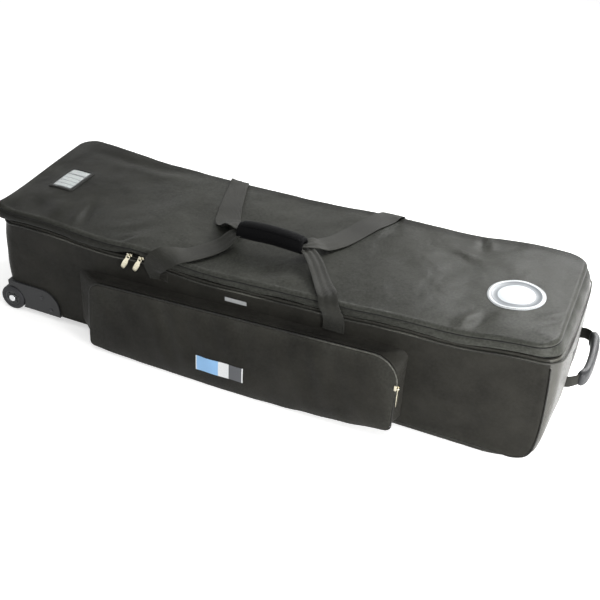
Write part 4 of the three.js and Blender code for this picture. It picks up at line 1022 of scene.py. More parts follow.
@dataclass
class Tub:
    """The padded tub: one lofted shell of cloth over foam, with its lining, edge cords and seams."""

    shop: Workshop
    wall_rows: int = 36
    arc_rows: int = 8
    lining_rows: int = 12
    housing_length: float = 128.0
    housing_height: float = 62.0
    housing_corner: float = 46.0
    housing_depth: float = 66.0
    cord_out: float = 2.1
    rim_cord_drop: float = 6.0
    seam_drop: float = 12.0
    end_zone: tuple[float, float] = (530.0, 566.0)

    def plan_at(self, half: float, height: float, inset: float, draw: float = 0.0) -> Array:
        """The plan at a height: tucked in at the wheel end, and with tighter corners low down."""
        p = PLAN
        tuck = p.tuck * max(0.0, 1 - height / p.tuck_top)
        corner = p.corner_low + (p.corner_high - p.corner_low) * min(1.0, height / p.rim_at_wheels)
        return p.ring(-(half - tuck), half, p.half_width - inset - draw, max(3.0, corner - inset - draw))

    def low_ring(self, angle: float, inset: float) -> Array:
        """A ring round the bottom: the ends follow a wide radius and the sides a small one."""
        p = PLAN
        radius = p.end_radius - inset
        rise = radius * (1 - math.cos(angle))
        draw = 0.0 if inset else float(drawn_in(max(0.0, p.edge_radius - rise), p.edge_radius))
        half = p.half_length - p.end_radius + radius * math.sin(angle)
        return level(self.plan_at(half, inset + rise, inset, draw), inset + rise)

    def wall_ring(self, share: float, inset: float) -> Array:
        """A ring of the wall, a share of the way from the bottom radius to the rim."""
        p = PLAN
        ring = self.plan_at(p.half_length - inset, p.end_radius + (p.rim_at_wheels - p.end_radius) * share, inset)
        return level(ring, p.end_radius + (p.rim(*ring.T) - p.end_radius) * share)

    def puffed(self, rings: Array, amount: float) -> Array:
        """Adds the ends' bulge, the floor's sag, and the padding's slow waves, outwards from each ring."""
        p = PLAN
        x, y, z = np.moveaxis(rings, -1, 0)
        rim, ends, handle_end = p.rim(x, y), step(np.abs(x), *self.end_zone), step(x, *self.end_zone)
        out = rings.copy()
        out[..., 0] += np.sign(x) * ends * p.bulge(y, z, rim) + p.bow(x, y) * np.clip(z / rim, 0, 1) ** 3
        out[..., 0] -= handle_end * p.low_tuck * np.maximum(0, 1 - z / 80) ** 2
        rear_fill = 12 * step(y, 20, 165) - 4 * hump(y, -60, 60)
        out[..., 0] += handle_end * rear_fill * np.maximum(0, 1 - z / 120)
        sag = p.floor_sag * step(x, -420, -330) * (1 - step(x, 500, 575))
        out[..., 2] -= sag * np.maximum(0, 1 - z / 60) ** 1.5
        normal = beside(rings, axis=1)
        fade = np.sin(np.pi * np.clip(z / rim, 0, 1)) ** 0.7
        end_relief = fade * (1.5 * waves(xyz(y, z * 0.5), 130, 11) + 0.7 * waves(rings, 60, 12))
        relief = p.wall_relief(x, z) * np.abs(normal[..., 1]) + end_relief * np.abs(normal[..., 0]) * ends
        out[..., :2] += normal * (amount * relief)[..., None]
        return out

    def outside(self) -> Array:
        """Rings of the outside, from the edge of the underside up to the rim."""
        rings = [self.low_ring(math.pi / 2 * k / self.arc_rows, 0.0) for k in range(self.arc_rows)]
        rings += [self.wall_ring(k / self.wall_rows, 0.0) for k in range(self.wall_rows + 1)]
        return self.puffed(np.stack(rings), 1.0)

    def shell(self) -> Surface:
        """Rings from the middle of the underside, up the wall, over the rim and down the lining.

        The rear wall stands above the rim, to meet the lid's hinge.
        """
        p = PLAN
        outer = self.outside()
        under = np.stack([outer[0] * (share, share, 1) for share in (0.1, 0.4, 0.7, 0.92)])
        outer = np.concatenate([under, outer])
        top = outer[-1]
        at_rear = (top[:, 1] > p.half_width - 20) * (1 - step(np.abs(top[:, 0]), 545, 566))
        lining = [self.wall_ring(1 - k / self.lining_rows, p.wall) for k in range(self.lining_rows + 1)]
        lining += [self.low_ring(math.pi / 2 * k / 3, p.wall) for k in (2, 1, 0)]
        inner = self.puffed(np.stack(lining), 0.0)
        fold = [
            top * (1 - share) + inner[0] * share + xyz(0, 0, (p.zip_gap - 0.5) * at_rear + lift)
            for share, lift in ((0.0, 0.5), (0.12, 1.3), (0.5, 1.7), (0.88, 1.3), (1.0, 0.5))
        ]
        floor = [inner[-1] * (share, share, 1) for share in (0.92, 0.7, 0.4, 0.1)]
        rings = np.concatenate([outer, np.stack(fold), inner, np.stack(floor)])
        solid = capped_loft(rings, [0] * (len(outer) + 2) + [1] * (len(inner) + len(floor) + 2))
        x, y, z = solid.points.T
        edge = hump(z - p.rim(x, y), 0, 5) + hump(z, 0, 7)
        solid.wear_and_light = np.clip(0.55 * edge + 0.25 * step(np.abs(x), 590, 620), 0, 1)
        # the handle end's outer wall takes the paler copy of the cloth, painted light for that brightly lit end
        number = np.arange(len(x))
        column = number % rings.shape[1]
        first, last = p.long_count + 3, p.long_count + p.corner_count + p.short_count + 6
        handle_end = (column >= first) & (column <= last) & (number < outer[..., 0].size)
        return recast(recast(solid, handle_end, (0,), 2), self.in_housing(solid.points), (0, 1, 2), None)

    def in_housing(self, points: Array) -> Array:
        """Whether points lie well inside a wheel housing, whose outline has one large round corner."""
        x, y, z = points.T
        margin = 3
        right, top = -PLAN.half_length + self.housing_length - margin, self.housing_height - margin
        radius = self.housing_corner - margin
        inside = (x < right) & (z < top) & (np.abs(y) > PLAN.half_width + 3.5 - self.housing_depth + 4)
        corner = (x > right - radius) & (z > top - radius)
        return inside & ~(corner & (np.hypot(x - right + radius, z - top + radius) > radius))

    def rim_cord(self) -> Surface:
        """Edge cord just under the rim, all the way round."""
        ring = PLAN.rim_ring(-self.cord_out)
        x, y = ring.T
        rim = PLAN.rim(x, y)
        path = level(ring, rim - self.rim_cord_drop)
        path[:, 0] += np.sign(x) * step(np.abs(x), *self.end_zone) * PLAN.bulge(y, path[:, 2], rim)
        path[:, 2] += 0.5 * waves(path[:, :2], 120, 21)
        cord = sweep(path, UP, circle(1.9), closed=True)
        # painted highlight: the cord's pale colour in slow patches all round the rim
        cord.wear_and_light = np.clip(0.35 + 0.45 * waves(cord.points[:, :2], 150, 22), 0, 1)
        return cord

    def panel_cord(self, side: Side) -> Surface:
        """Edge cord of a side panel: down the handle end's corner along the shell, then along the bottom."""
        p = PLAN
        corner = 3 if side is Side.FRONT else p.corner_count + p.short_count + 6
        column = self.outside()[:-3][::-1, p.long_count + corner]
        turn = math.radians(30)
        out = np.array([math.sin(turn), side.value * math.cos(turn), 0])
        down = column[column[:, 2] > 8] + self.cord_out * out
        start = -p.half_length + self.housing_length + 4
        low = xyz(np.linspace(562, start, 44), side.value * (p.half_width + 0.2), 1.6)
        return sweep(spline(np.concatenate([down[::3], low]), 6), REARWARD, circle(1.3))

    def seam_stitches(self) -> Surface:
        """A row of stitches below the rim's cord, along the front and along the rear."""
        p = PLAN
        ring = p.rim_ring(0)
        path = self.puffed(level(ring, p.rim(*ring.T) - self.seam_drop)[None], 1.0)[0]
        return stitches(path[: p.long_count], UP).plus(stitches(path[p.rear_start :][: p.long_count], UP))

    def build(self) -> None:
        """Builds the tub."""
        make = self.shop.make
        panels = "front_wall rear_wall wheel_end_wall handle_end_wall floor_panel"
        cloths = (BALLISTIC_NYLON, LINING, END_NYLON)
        make("tub_shell", self.shell(), cloths, "nylon", Body.CASE, panels, fill=0.35)
        make("rim_edge_cord", self.rim_cord(), PIPING, "piping", Body.CASE, "rim_piping")
        for side in Side:
            cord = self.panel_cord(side)
            make(f"{side.word}_panel_edge_cord", cord, PIPING, "piping", Body.CASE, f"{side.word}_panel_piping")
        make("tub_seam_stitches", self.seam_stitches(), THREAD, "tape", Body.CASE)
        for board in ("floor_board", "wheel_end_board", "handle_end_board"):
            dress_node(board, BOARD)


# The lid


@dataclass
class Lid:
    """The padded lid: a crowned panel, its boxing, the cord in its seam, and what is sewn on top."""

    shop: Workshop
    rows: int = 58
    columns: int = 190
    edge: float = 6.0
    cord_out: float = 5.3
    panel: float = 9.0
    twist: float = 5.0
    front_corner: float = 14.0
    window_middle: tuple[float, float] = (-527.0, -15.0)
    window_half: tuple[float, float] = (31.0, 50.0)
    frame_width: float = 7.0
    patch_middle: tuple[float, float] = (493.0, -33.0)
    patch_seam: float = 54.0
    creases: tuple[Crease, ...] = tuple(Crease((x0, y0), (x1, y1), width, depth) for x0, y0, x1, y1, width, depth in (
        (-436, -50, -404, -190, 13, -2.8), (-452, -70, -424, -185, 10, 2.0), (-268, -140, -304, -186, 9, 3.0),
        (-292, -150, -322, -184, 8, -3.0), (-545, -110, -505, -180, 14, -3.0), (-500, -100, -470, -170, 16, 1.8),
        (-268, -92, -330, -150, 14, -1.8), (410, -176, 432, -126, 10, 3.4), (432, -178, 462, -118, 12, -3.8),
        (392, -178, 404, -150, 8, -1.8), (374, 178, 388, 118, 8, -3.4), (392, 178, 402, 130, 9, 2.2),
        (330, 96, 392, 74, 12, 2.4), (350, 74, 400, 46, 15, -1.6), (590, -60, 556, -104, 9, 2.2),
        (586, -84, 548, -124, 9, -2.0), (-30, -176, 30, -120, 16, -1.8), (30, -176, 90, -132, 18, 1.6),
        (210, -176, 250, -140, 12, -1.6), (-240, 60, -300, -60, 26, 2.0), (-540, 130, -330, 152, 16, -2.4),
        (-510, 100, -300, 118, 20, 1.6),
    ))

    def height(self, x: Array, y: Array) -> Array:
        """Height of the lid's cloth with its waves and creases, which fade at the seam."""
        p = PLAN
        across = 1 - np.clip(np.abs(y) / p.half_width, 0, 1) ** 10
        along = 1 - np.clip(np.abs(x) / (p.half_length + 4), 0, 1) ** 50
        place = xyz(x, y)
        relief = 1.6 * waves(place, 300, 31) + 0.9 * waves(place, 120, 32) + 0.4 * waves(place, 55, 33)
        relief += 1.9 * sum(crease.relief(x, y) for crease in self.creases)
        return p.lid_surface(x, y) + self.skew(x, y) + across * along * relief

    def skew(self, x: Array, y: Array) -> Array:
        """The wheel end droops towards its front, but both of its corners stand up."""
        side = y / PLAN.half_width
        lifted = 11 * np.maximum(0, -side) ** 3 * hump(x, -614, 36)
        return self.twist * side * hump(x, -575, 75) + lifted

    def lie(self, plan: Array, lift: float = 0.0) -> Array:
        """Lays plan points on the lid's cloth, lifted a little."""
        return level(plan, self.height(plan[..., 0], plan[..., 1]) + lift)

    def plan_grid(self) -> Array:
        """Grid over the lid's plan: rows across it, and x between the rounded ends at each y."""
        p = PLAN
        half = p.half_width + p.lid_side - self.edge
        y = (2 * dense_ends(self.rows, 0.75) - 1) * half

        def draw(radius: Array | float) -> Array:
            """How far a corner of a radius pulls the end in at each y."""
            return drawn_in(np.maximum(0, np.abs(y) - (half - radius)), radius)

        share = dense_ends(self.columns, 0.25)[None]
        front_corner = np.where(y < 0, self.front_corner, p.lid_corner)
        wheel = -p.half_length - p.lid_wheel_end + self.edge + draw(front_corner - self.edge)
        handle = p.half_length + p.lid_handle_end - self.edge - draw(p.lid_corner - self.edge)
        return xyz(wheel[:, None] * (1 - share) + handle[:, None] * share, y[:, None])

    def border(self) -> tuple[Array, Array]:
        """The top's edge points, and the level directions that point out of it."""
        border = self.lie(self.plan_grid()).reshape(-1, 3)[rim_of(self.rows, self.columns)]
        normal = level(beside(border), 0)
        return border, normal if np.sum(normal[:, :2] * border[:, :2]) > 0 else -normal

    def shell(self) -> Surface:
        """Top grid, rings over the edge and down the boxing, its folded hem, and the lined underside."""
        p = PLAN
        plan = self.plan_grid()
        border, normal = self.border()
        x, y, _ = border.T
        edge_top = p.lid_top(x, y) + self.skew(x, y)
        near_sliders = hump(x, -270, 30) * (y < 0)
        hem = p.rim(x, y) + p.zip_gap - (1 - near_sliders) * (9.5 + 1.2 * waves(border[:, :2], 150, 40))
        ripple = 0.9 * waves(border[:, :2], 70, 41)
        lean = xyz(step(x, 540, 590) * (5.0 + p.bow(x, y)), 0, 0)

        def ring(out: float, height: Array, wave: float = 0.0, leaning: float = 0.0) -> Array:
            """A ring pushed out by a distance, at a height."""
            return level(border + normal * (out + wave * ripple)[:, None] + leaning * lean, height)

        rings = [
            ring(self.edge * math.sin(a), edge_top - self.edge * (1 - math.cos(a)))
            for a in np.radians((25, 50, 75, 90))
        ]
        seam = edge_top - self.panel
        rings += [ring(5.1, seam + 1.0), ring(4.9, seam - 1.0)]
        for share in (0.15, 0.4, 0.65, 0.88):
            out = 5.6 + 1.6 * math.sin(math.pi * share)
            rings.append(ring(out, seam * (1 - share) + hem * share, 0.8, share))
        rings += [ring(4.4, hem + 0.4, 0.8, 1), ring(3.0, hem - 0.4, 0.8, 1), ring(-3.0, hem - 0.2, 0, 1)]
        rings += [ring(-5.0, hem + 0.6, 0, 0.9), ring(-8.3, hem * 0.5 + (seam - 1) * 0.5), ring(-8.6, seam - 0.5)]
        inner = plan * (0.98, 0.95)
        under = level(inner, p.lid_surface(inner[..., 0], inner[..., 1]) - self.panel)
        solid = pillow(self.lie(plan), under, rings, back_look=1)
        solid.wear_and_light = self.wear_and_light(*solid.points.T)
        return solid

    def wear_and_light(self, x: Array, y: Array, z: Array) -> Array:
        """Wear at the edges towards the front, and painted light on the top, which keeps a darker band at the rear."""
        at_edge = step(np.maximum(np.abs(y) / 176, np.abs(x) / 606), 0.96, 1.0)
        near = hump(z - PLAN.lid_top(x, y), -2, 5) * at_edge * (1 - step(y, -60, 90))
        front = np.clip(-y / PLAN.half_width, -1, 1)
        # painted light: paler past the wheel end, and more so towards the handle end and the front
        rubbed_and_lit = 0.55 * step(x, -500, -260) + 0.4 * step(x, 180, 500) * (0.7 + 0.7 * front)
        # painted light in a patch at the middle of the front, lifting the shade that the grip casts there
        rubbed_and_lit += 0.35 * step(front, 0.4, 0.75) * hump(x, -20, 130)
        # the painted light fades out along the rear band, which stays darker
        rubbed_and_lit *= 1 - 0.85 * step(y, 146, 166)
        return np.clip(0.7 * near + rubbed_and_lit, 0, 1)

    def cord(self) -> Surface:
        """Edge cord in the seam between the panel and the boxing."""
        border, normal = self.border()
        x, y, _ = border.T
        path = level(border + normal * self.cord_out, PLAN.lid_top(x, y) + self.skew(x, y) - self.panel)
        return sweep(spline(path, 5, closed=True), UP, circle(1.3), closed=True)

    def sewn(self, plan: Array, lift: float) -> Surface:
        """Stitch beads along a closed plan that lies on the lid."""
        path = spline(self.lie(plan, lift), 3.6, closed=True)
        along = unit(chord(path))
        side = np.cross(np.broadcast_to(UP, path.shape), along)
        return scatter(bead(2.5, 0.9, 0.9), path, (along, side, np.cross(along, side)))

    def window(self) -> None:
        """Card window: a bound frame, the card behind it and a clear sheet between them."""
        make = self.shop.make
        middle, half = np.array(self.window_middle), np.array(self.window_half)
        outer = CasePlan(long_count=20, short_count=30, corner_count=6).ring(-half[0], half[0], half[1], 7.0)
        hole = outer * ((half - self.frame_width) / half)
        section = (
            (0.0, -0.6), (0.0, 1.1), (0.12, 1.8), (0.5, 2.0), (0.88, 1.8), (1.0, 1.2), (1.0, 0.2), (0.5, -0.8),
        )
        binding = tube([self.lie(outer * (1 - share) + hole * share + middle, lift) for share, lift in section])
        make("card_window_binding", binding, BINDING, "piping", Body.LID, "card_window_frame")
        y, x = np.meshgrid(np.linspace(-1, 1, 16), np.linspace(-1, 1, 16), indexing="ij")
        for name, inset, low, high, crown, finish, slot, node in (
            ("name_card_sheet", 3.0, 0.2, 0.6, 0.4, NAME_CARD, "card", "name_card"),
            ("card_window_vinyl", 0.0, 1.0, 1.4, 1.2, CLEAR_VINYL, "window", "card_window_sheet"),
        ):
            reach = half - self.frame_width - inset + 1
            flat = xyz(x, y) * reach + middle
            raised = xyz(0, 0, (1 - x**4) * (1 - y**4) * crown)
            solid = pillow(self.lie(flat, high) + raised, self.lie(flat, low) + raised)
            start = (middle[1] - reach[1], middle[0])
            solid.maps = [(solid.points[faces][..., [1, 0]] - start) * MM for faces in solid.faces]
            make(name, solid, finish, slot, Body.LID, node)
        sewn = self.sewn(outer * 0.93 + middle, 2.0).plus(self.sewn(outer * (0.8, 0.88) + middle, 2.0))
        make("card_window_stitches", sewn, THREAD, "tape", Body.LID)

    def patch(self) -> None:
        """Round patch: a raised rim and a dished field in plain rings, with no device on it."""
        middle = np.array(self.patch_middle)
        section = (
            (1.0, 1.3), (12, 1.3), (24, 1.3), (33, 1.3), (34, 0.9), (45, 0.9), (46, 1.3), (47, 1.7), (52, 1.8),
            (55, 1.5), (56, 0.9), (56, -0.6), (40, -0.6), (1.0, -0.6),
        )
        solid = capped_loft(np.stack([self.lie(circle(radius, 72) + middle, lift) for radius, lift in section]))
        away = [np.linalg.norm(solid.points[faces][..., :2] - middle, axis=-1) for faces in solid.faces]
        solid.maps = [xyz(each, 0) * MM for each in away]
        self.shop.make("round_patch_disc", solid, ROUND_PATCH, "patch", Body.LID, "round_patch")
        sewn = self.sewn(circle(self.patch_seam, 72) + middle, 1.9)
        self.shop.make("round_patch_stitches", sewn, THREAD, "tape", Body.LID)

    def build(self) -> None:
        """Builds the lid."""
        make = self.shop.make
        cloths = (LID_NYLON, LINING)
        make("lid_shell", self.shell(), cloths, "lid_nylon", Body.LID, "lid_panel lid_skirt", fill=0.4)
        make("lid_edge_cord", self.cord(), BINDING, "piping", Body.LID, "lid_piping")
        self.window()
        self.patch()


# The main zip and the fabric hinge


@dataclass
class MainZip:
    """The zip round three sides in its recess, and the cloth hinge along the fourth."""

    shop: Workshop
    inset: float = 7.0
    tape_height: float = 4.6
    tooth_pitch: float = 2.6
    tape_lifts: tuple[float, float] = (0.3, 10.1)
    coil_lifts: tuple[float, float] = (6.3, 8.7)

    def route(self, inset: float, lift: float) -> Array:
        """The plan round three sides, from one rear corner to the other, above the rim."""
        ring, rear = PLAN.rim_ring(inset), PLAN.rear_start
        path = np.concatenate([ring[rear + PLAN.long_count :], ring[: rear + 1]])
        return level(path, PLAN.rim(*path.T) + lift)

    def tape(self, low: float) -> Surface:
        """Woven tape standing in the recess."""
        path = spline(self.route(self.inset + 0.6, low + self.tape_height / 2), 6)
        return sweep(path, UP, band(self.tape_height, 1.2, 5))

    def teeth(self, lift: float) -> Surface:
        """One side's coil: a bead of acetal for each pitch, standing across the tape."""
        path = spline(self.route(self.inset + 0.3, lift), self.tooth_pitch)
        along, _, out = directions(path, UP)
        return scatter(bead(2.5, 1.9, 3.0), path, (np.broadcast_to(UP, path.shape), along, out))

    def hinge(self) -> Surface:
        """Strip over the joint between the rear wall and the lid's boxing, stepped out at the lid."""
        rear, x = PLAN.half_width, np.linspace(-556, 556, 140)
        steps = ((3.0, 0.6), (7.0, 0.6), (10.5, 0.8), (12.6, 2.6), (14.7, 5.6), (18.0, 6.4))
        outer = np.stack([xyz(x, rear + out + 1.0, PLAN.rim(x, rear) + lift) for lift, out in steps])
        return capped_loft(np.moveaxis(np.concatenate([outer, (outer - (0, 1.0, 0))[::-1]]), 0, 1))

    def build(self) -> None:
        """Builds the zip and the hinge, whose joint is given tilted with the rim."""
        make, p = self.shop.make, PLAN
        halves = (("tub", Body.CASE), ("lid", Body.LID))
        for (word, body), lift in zip(halves, self.tape_lifts):
            make(f"{word}_zip_webbing", self.tape(lift), BINDING, "tape", body, f"{word}_zip_tape")
        for (word, body), lift in zip(halves, self.coil_lifts):
            make(f"{word}_zip_coil", self.teeth(lift), ACETAL, "chain", body, f"{word}_zip_teeth")
        low, rise = (p.rim_at_wheels + p.rim_at_handle) / 2 + 2.5, 6.0
        bend = Bend(Body.CASE, Body.LID, (0, p.half_width, low), (-rise * p.slope, p.half_width, low + rise))
        make("hinge_strip", self.hinge(), BINDING, "tape", bend, "lid_hinge_tape", crisp=50)


# Wheels and mouldings


@dataclass
class RunningGear:
    """Two wheels, their moulded housings with screws, and the rubber feet under the other end.

    Each section is turned about the axle. It holds (radius, depth behind the wheel's outer face).
    """

    shop: Workshop
    axle_x: float = -600.0
    axle_z: float = 15.0
    face_y: float = 182.0
    tyre: tuple[tuple[float, float], ...] = (
        (19.3, 23), (19.3, 1), (20.5, 0), (24, 0), (26.6, 0.3), (28.8, 1.6), (29.8, 4), (30, 6), (30, 8), (29, 8.6),
        (29, 9.6), (30, 10.2), (30, 13.8), (29, 14.4), (29, 15.4), (30, 16), (30, 18), (29.8, 20), (28.8, 22.4),
        (26.6, 23.7), (24, 24), (20.5, 24),
    )
    centre: tuple[tuple[float, float], ...] = (
        (4.3, 23.5), (4.3, 1.2), (5, 0.6), (8, 0.6), (8.8, 1.4), (9.4, 3.2), (14.2, 3.6), (15.2, 3), (16, 1.2),
        (16.6, 0.6), (18.2, 0.6), (18.9, 1.2), (19, 2.4), (19, 22.8), (18.2, 23.5),
    )
    axle: tuple[tuple[float, float], ...] = (
        (0.05, 51.6), (4, 51.6), (4, -0.4), (7.6, -0.4), (8, -0.9), (7.7, -1.5), (6.2, -2.3), (4.2, -3), (2, -3.35),
        (0.05, -3.4),
    )
    screws: tuple[tuple[float, float], ...] = ((-520.0, 39.0), (-497.0, 11.5))

    def turned(self, section: tuple[tuple[float, float], ...], side: Side, count: int = 64) -> Array:
        """Rings of a section turned about the axle."""
        turn = turns(count)
        r, depth = np.array(section, float).T[..., None]
        x, z = self.axle_x + r * np.cos(turn), self.axle_z + r * np.sin(turn)
        return xyz(x, side.value * (self.face_y - depth), z)

    def ribs(self, side: Side) -> Surface:
        """Six raised ribs between the boss and the rim of the wheel centre."""
        turn = np.arange(6) * np.pi / 3 + 0.3
        way = xyz(np.cos(turn), 0, np.sin(turn))
        places = np.array([self.axle_x, side.value * (self.face_y - 2.9), self.axle_z]) + 12.0 * way
        out = np.broadcast_to(side.value * REARWARD, way.shape)
        return scatter(bead(7.4, 2.4, 3.0, 8), places, (way, np.cross(out, way), out))

    def screw(self, x: float, z: float, side: Side) -> Surface:
        """Domed screw head, whose cross recess is a dip in its dome."""
        turn = turns(32)
        r, lift = np.array([[4.0, 4.0, 3.7, 3.0, 2.2, 1.4, 0.6], [0.2, 0.6, 1.1, 1.5, 1.75, 1.85, 1.9]])[..., None]
        dip = 0.7 * np.maximum(0, np.abs(np.cos(2 * turn)) - 0.82) / 0.18 * (r < 3.2)
        y = side.value * (PLAN.half_width + 3.6 + lift - dip)
        return capped_loft(xyz(x + r * np.cos(turn), y, z + r * np.sin(turn)))

    def rim_bead(self, side: Side) -> Surface:
        """Raised bead round the housing's outer face: down its round corner and along its straight sides."""
        left, right, top, radius = -606.0, -475.4, 60.6, 45.0
        angle = np.linspace(0, np.pi / 2, 14)
        arc = np.array([right - radius, top - radius]) + radius * xyz(np.cos(angle), np.sin(angle))
        plan = np.array([(right, -1.0), (right, 6.0), *arc, (-540.0, top), (-580.0, top), (left, top)])
        return sweep(spline(upright(plan, side.value * (PLAN.half_width + 3.5)), 3), REARWARD, circle(1.5, 8))

    def build(self) -> None:
        """Builds both sides."""
        make = self.shop.make
        for side in Side:
            word, wheel = side.word, side.body("wheel")
            tyre, centre = tube(self.turned(self.tyre, side)), tube(self.turned(self.centre, side))
            make(f"{word}_tyre", tyre, RUBBER, "rubber", wheel, f"tyre_{word}", crisp=50)
            make(f"{word}_wheel_centre", centre, WHEEL_NYLON, "hub", wheel, f"wheel_hub_{word}", crisp=45)
            make(f"{word}_wheel_ribs", self.ribs(side), WHEEL_NYLON, "hub", wheel)
            axle = capped_loft(self.turned(self.axle, side, 40))
            make(f"{word}_axle_cap", axle, ZINC, "cap", Body.CASE, f"axle_{word}", crisp=50)
            for number, (x, z) in enumerate(self.screws, 1):
                head, node = self.screw(x, z, side), f"housing_screw_{word}_{number}"
                make(f"{word}_screw_{number}", head, BLACK_OXIDE, "nickel", Body.CASE, node, crisp=60)
            make(f"{word}_housing_bead", self.rim_bead(side), POLYPROPYLENE, "housing", Body.CASE)
            dress_node(f"wheel_housing_{word}", POLYPROPYLENE)
            dress_node(f"foot_{word}", RUBBER)


# The front pocket


@dataclass
class Pocket:
    """The zipped front pocket: a sagging gusset, a crowned face with soft folds, its zip and its label."""

    shop: Workshop
    wheel_x: float = -418.0
    handle_x: float = 332.0
    top_wheel: float = 150.0
    top_handle: float = 183.0
    bottom: float = 7.0
    drop: float = 3.0
    depth: float = 40.0
    zip_depth: float = 8.0
    crown: float = 8.0
    belly: Knots = Knots(36, (
        (-360, -6), (-300, -11), (-200, -13), (-130, -14), (-50, -15), (10, -14), (90, -11), (160, -5), (230, 0),
        (290, 8), (326, 15),
    ))
    lean: float = 12.0
    columns: int = 120
    rows: int = 36
    root_round: float = 14.0
    rounds: tuple[float, float, float, float] = (8.0, 12.0, 55.0, 24.0)
    plate_thickness: float = 0.9

    @property
    def left(self) -> float:
        """The face's end at the wheels."""
        return self.wheel_x + 57

    @property
    def right(self) -> float:
        """The face's end at the handle."""
        return self.handle_x - 6

    def outline(self, corners: Array, radii: Sequence[float], side_count: int = 44,
                corner_count: int = 12) -> Array:
        """A closed outline of straight sides and round corners, walked through the corners in turn.

        Args:
            corners: Four corners by two.
            radii: The round at each corner.
            side_count: Points of each straight side.
            corner_count: Points of each round.

        Returns:
            Points by two, starting at the first corner's round.
        """
        back, forth = unit(np.roll(corners, 1, axis=0) - corners), unit(np.roll(corners, -1, axis=0) - corners)
        reach = np.asarray(radii) / np.tan(np.arccos(np.clip((back * forth).sum(1), -1, 1)) / 2)
        starts, ends = corners + back * reach[:, None], corners + forth * reach[:, None]
        centres = corners + unit(back + forth) * np.hypot(reach, radii)[:, None]
        parts = []
        for k in range(4):
            a0 = math.atan2(*(starts[k] - centres[k])[::-1])
            a1 = math.atan2(*(ends[k] - centres[k])[::-1])
            turn = (a1 - a0 + math.pi) % (2 * math.pi) - math.pi
            angle = a0 + turn * np.arange(corner_count) / corner_count
            parts.append(centres[k] + radii[k] * xyz(np.cos(angle), np.sin(angle)))
            share = np.arange(side_count)[:, None] / side_count
            parts.append(ends[k] * (1 - share) + starts[(k + 1) % 4] * share)
        return np.concatenate(parts)

    def root(self, inset: float = 0.0) -> Array:
        """The outline where the gusset is sewn to the wall."""
        left, right, low = self.wheel_x + inset, self.handle_x - inset, self.bottom + inset
        corners = ((left, low), (right, low), (right, self.top_handle - inset), (left, self.top_wheel - inset))
        return self.outline(np.array(corners), [self.root_round - inset] * 4)

    def front(self, inset: float = 0.0) -> Array:
        """The face's outline, with a large round where the zip turns down and a sagging lower edge."""
        left, right, low = self.left + inset, self.right - inset, self.bottom - self.drop + inset
        corners = ((left, low), (right, low), (right, self.top_handle - inset), (left, self.top_wheel - inset))
        flat = self.outline(np.array(corners), [max(radius - inset, 1.5) for radius in self.rounds])
        return xyz(flat[:, 0], self.slumped(*flat.T))

    def up(self, x: Array, z: Array) -> Array:
        """Share of the way up the pocket, before it slumps."""
        rise, length = self.top_handle - self.top_wheel, self.handle_x - self.wheel_x
        top = self.top_wheel + rise * (x - self.wheel_x) / length
        low = self.bottom - self.drop
        return np.clip((z - low) / (top - low), 0, 1)

    def slumped(self, x: Array, z: Array) -> Array:
        """Height after the pocket's lower part has slumped by its belly."""
        return z + self.belly(x) * (1 - self.up(x, z)) ** 1.3

    def away(self, x: Array, z: Array) -> Array:
        """How much less far out the pocket stands towards its top: it leans out low down, under its load."""
        return -self.lean * self.up(x, z) ** 1.4

    def gusset(self) -> Surface:
        """Cloth from the wall to the zip: it sags in between, and both of its edges turn under.

        Each row is the root's outline moved a share of the way to the front's, less a sag of
        sin(pi share) and a few slow waves.
        """
        root, front = self.root(), self.front()
        wall = PLAN.half_width - 3.0
        rows = []
        for share in np.linspace(0, 1, 14):
            plan = root * (1 - share) + front * share
            normal = beside(plan)
            if np.sum(normal * (plan - plan.mean(axis=0))) < 0:
                normal = -normal
            depth = wall + (self.depth + 3.0 + self.away(*front.T)) * share
            relief = 1.1 * waves(level(plan, depth), 70, 51) - 2.6 * step(normal[:, 1], 0.2, 0.9) - 1.2
            rows.append(upright(plan + normal * (math.sin(math.pi * share) * relief)[:, None], -depth))
        turned = self.stand(self.front(4.0), self.depth)
        hem = rows[-1] * 0.5 + turned * 0.5 + (0, -0.5, 0)
        return tube([*rows, hem, turned, upright(self.root(4.0), -wall)])

    def stand(self, plan: Array, out: float) -> Array:
        """Stands an outline in front of the wall, leaning as the pocket does."""
        return upright(plan, -(PLAN.half_width + out + self.away(*plan.T)))

    def face_height(self, x: Array, z: Array) -> Array:
        """How far the face stands in front of its seam: a flat-topped crown, soft upright folds and sag."""
        u = np.clip((x - self.left) / (self.right - self.left), 0, 1) * 2 - 1
        v = self.up(x, z) * 2 - 1
        place = xyz(x + 0.25 * z, z * 0.3)
        folds = 1.7 * waves(place, 160, 61) + 1.7 * waves(place, 70, 62) + 0.6 * waves(place, 40, 63)
        height = self.crown - 2 + 1.5 * folds * (0.65 + 0.35 * v) + 1.6 * (1 - v)
        return (1 - np.abs(u) ** 8) * (1 - np.abs(v) ** 3) * np.maximum(height, 1.0)

    def face(self) -> Surface:
        """The face's grid between the outline's lower and upper edge at each x, rolled over its seam."""
        left, right = self.left, self.right
        x = left + (right - left) * dense_ends(self.columns, 0.6)

        def ends(low: float, high: float) -> Array:
            """How far the rounds at the two ends draw an edge in."""
            past = ((x - left, low), (right - x, high))
            return sum(drawn_in(np.clip(radius - distance, 0, radius), radius) for distance, radius in past)

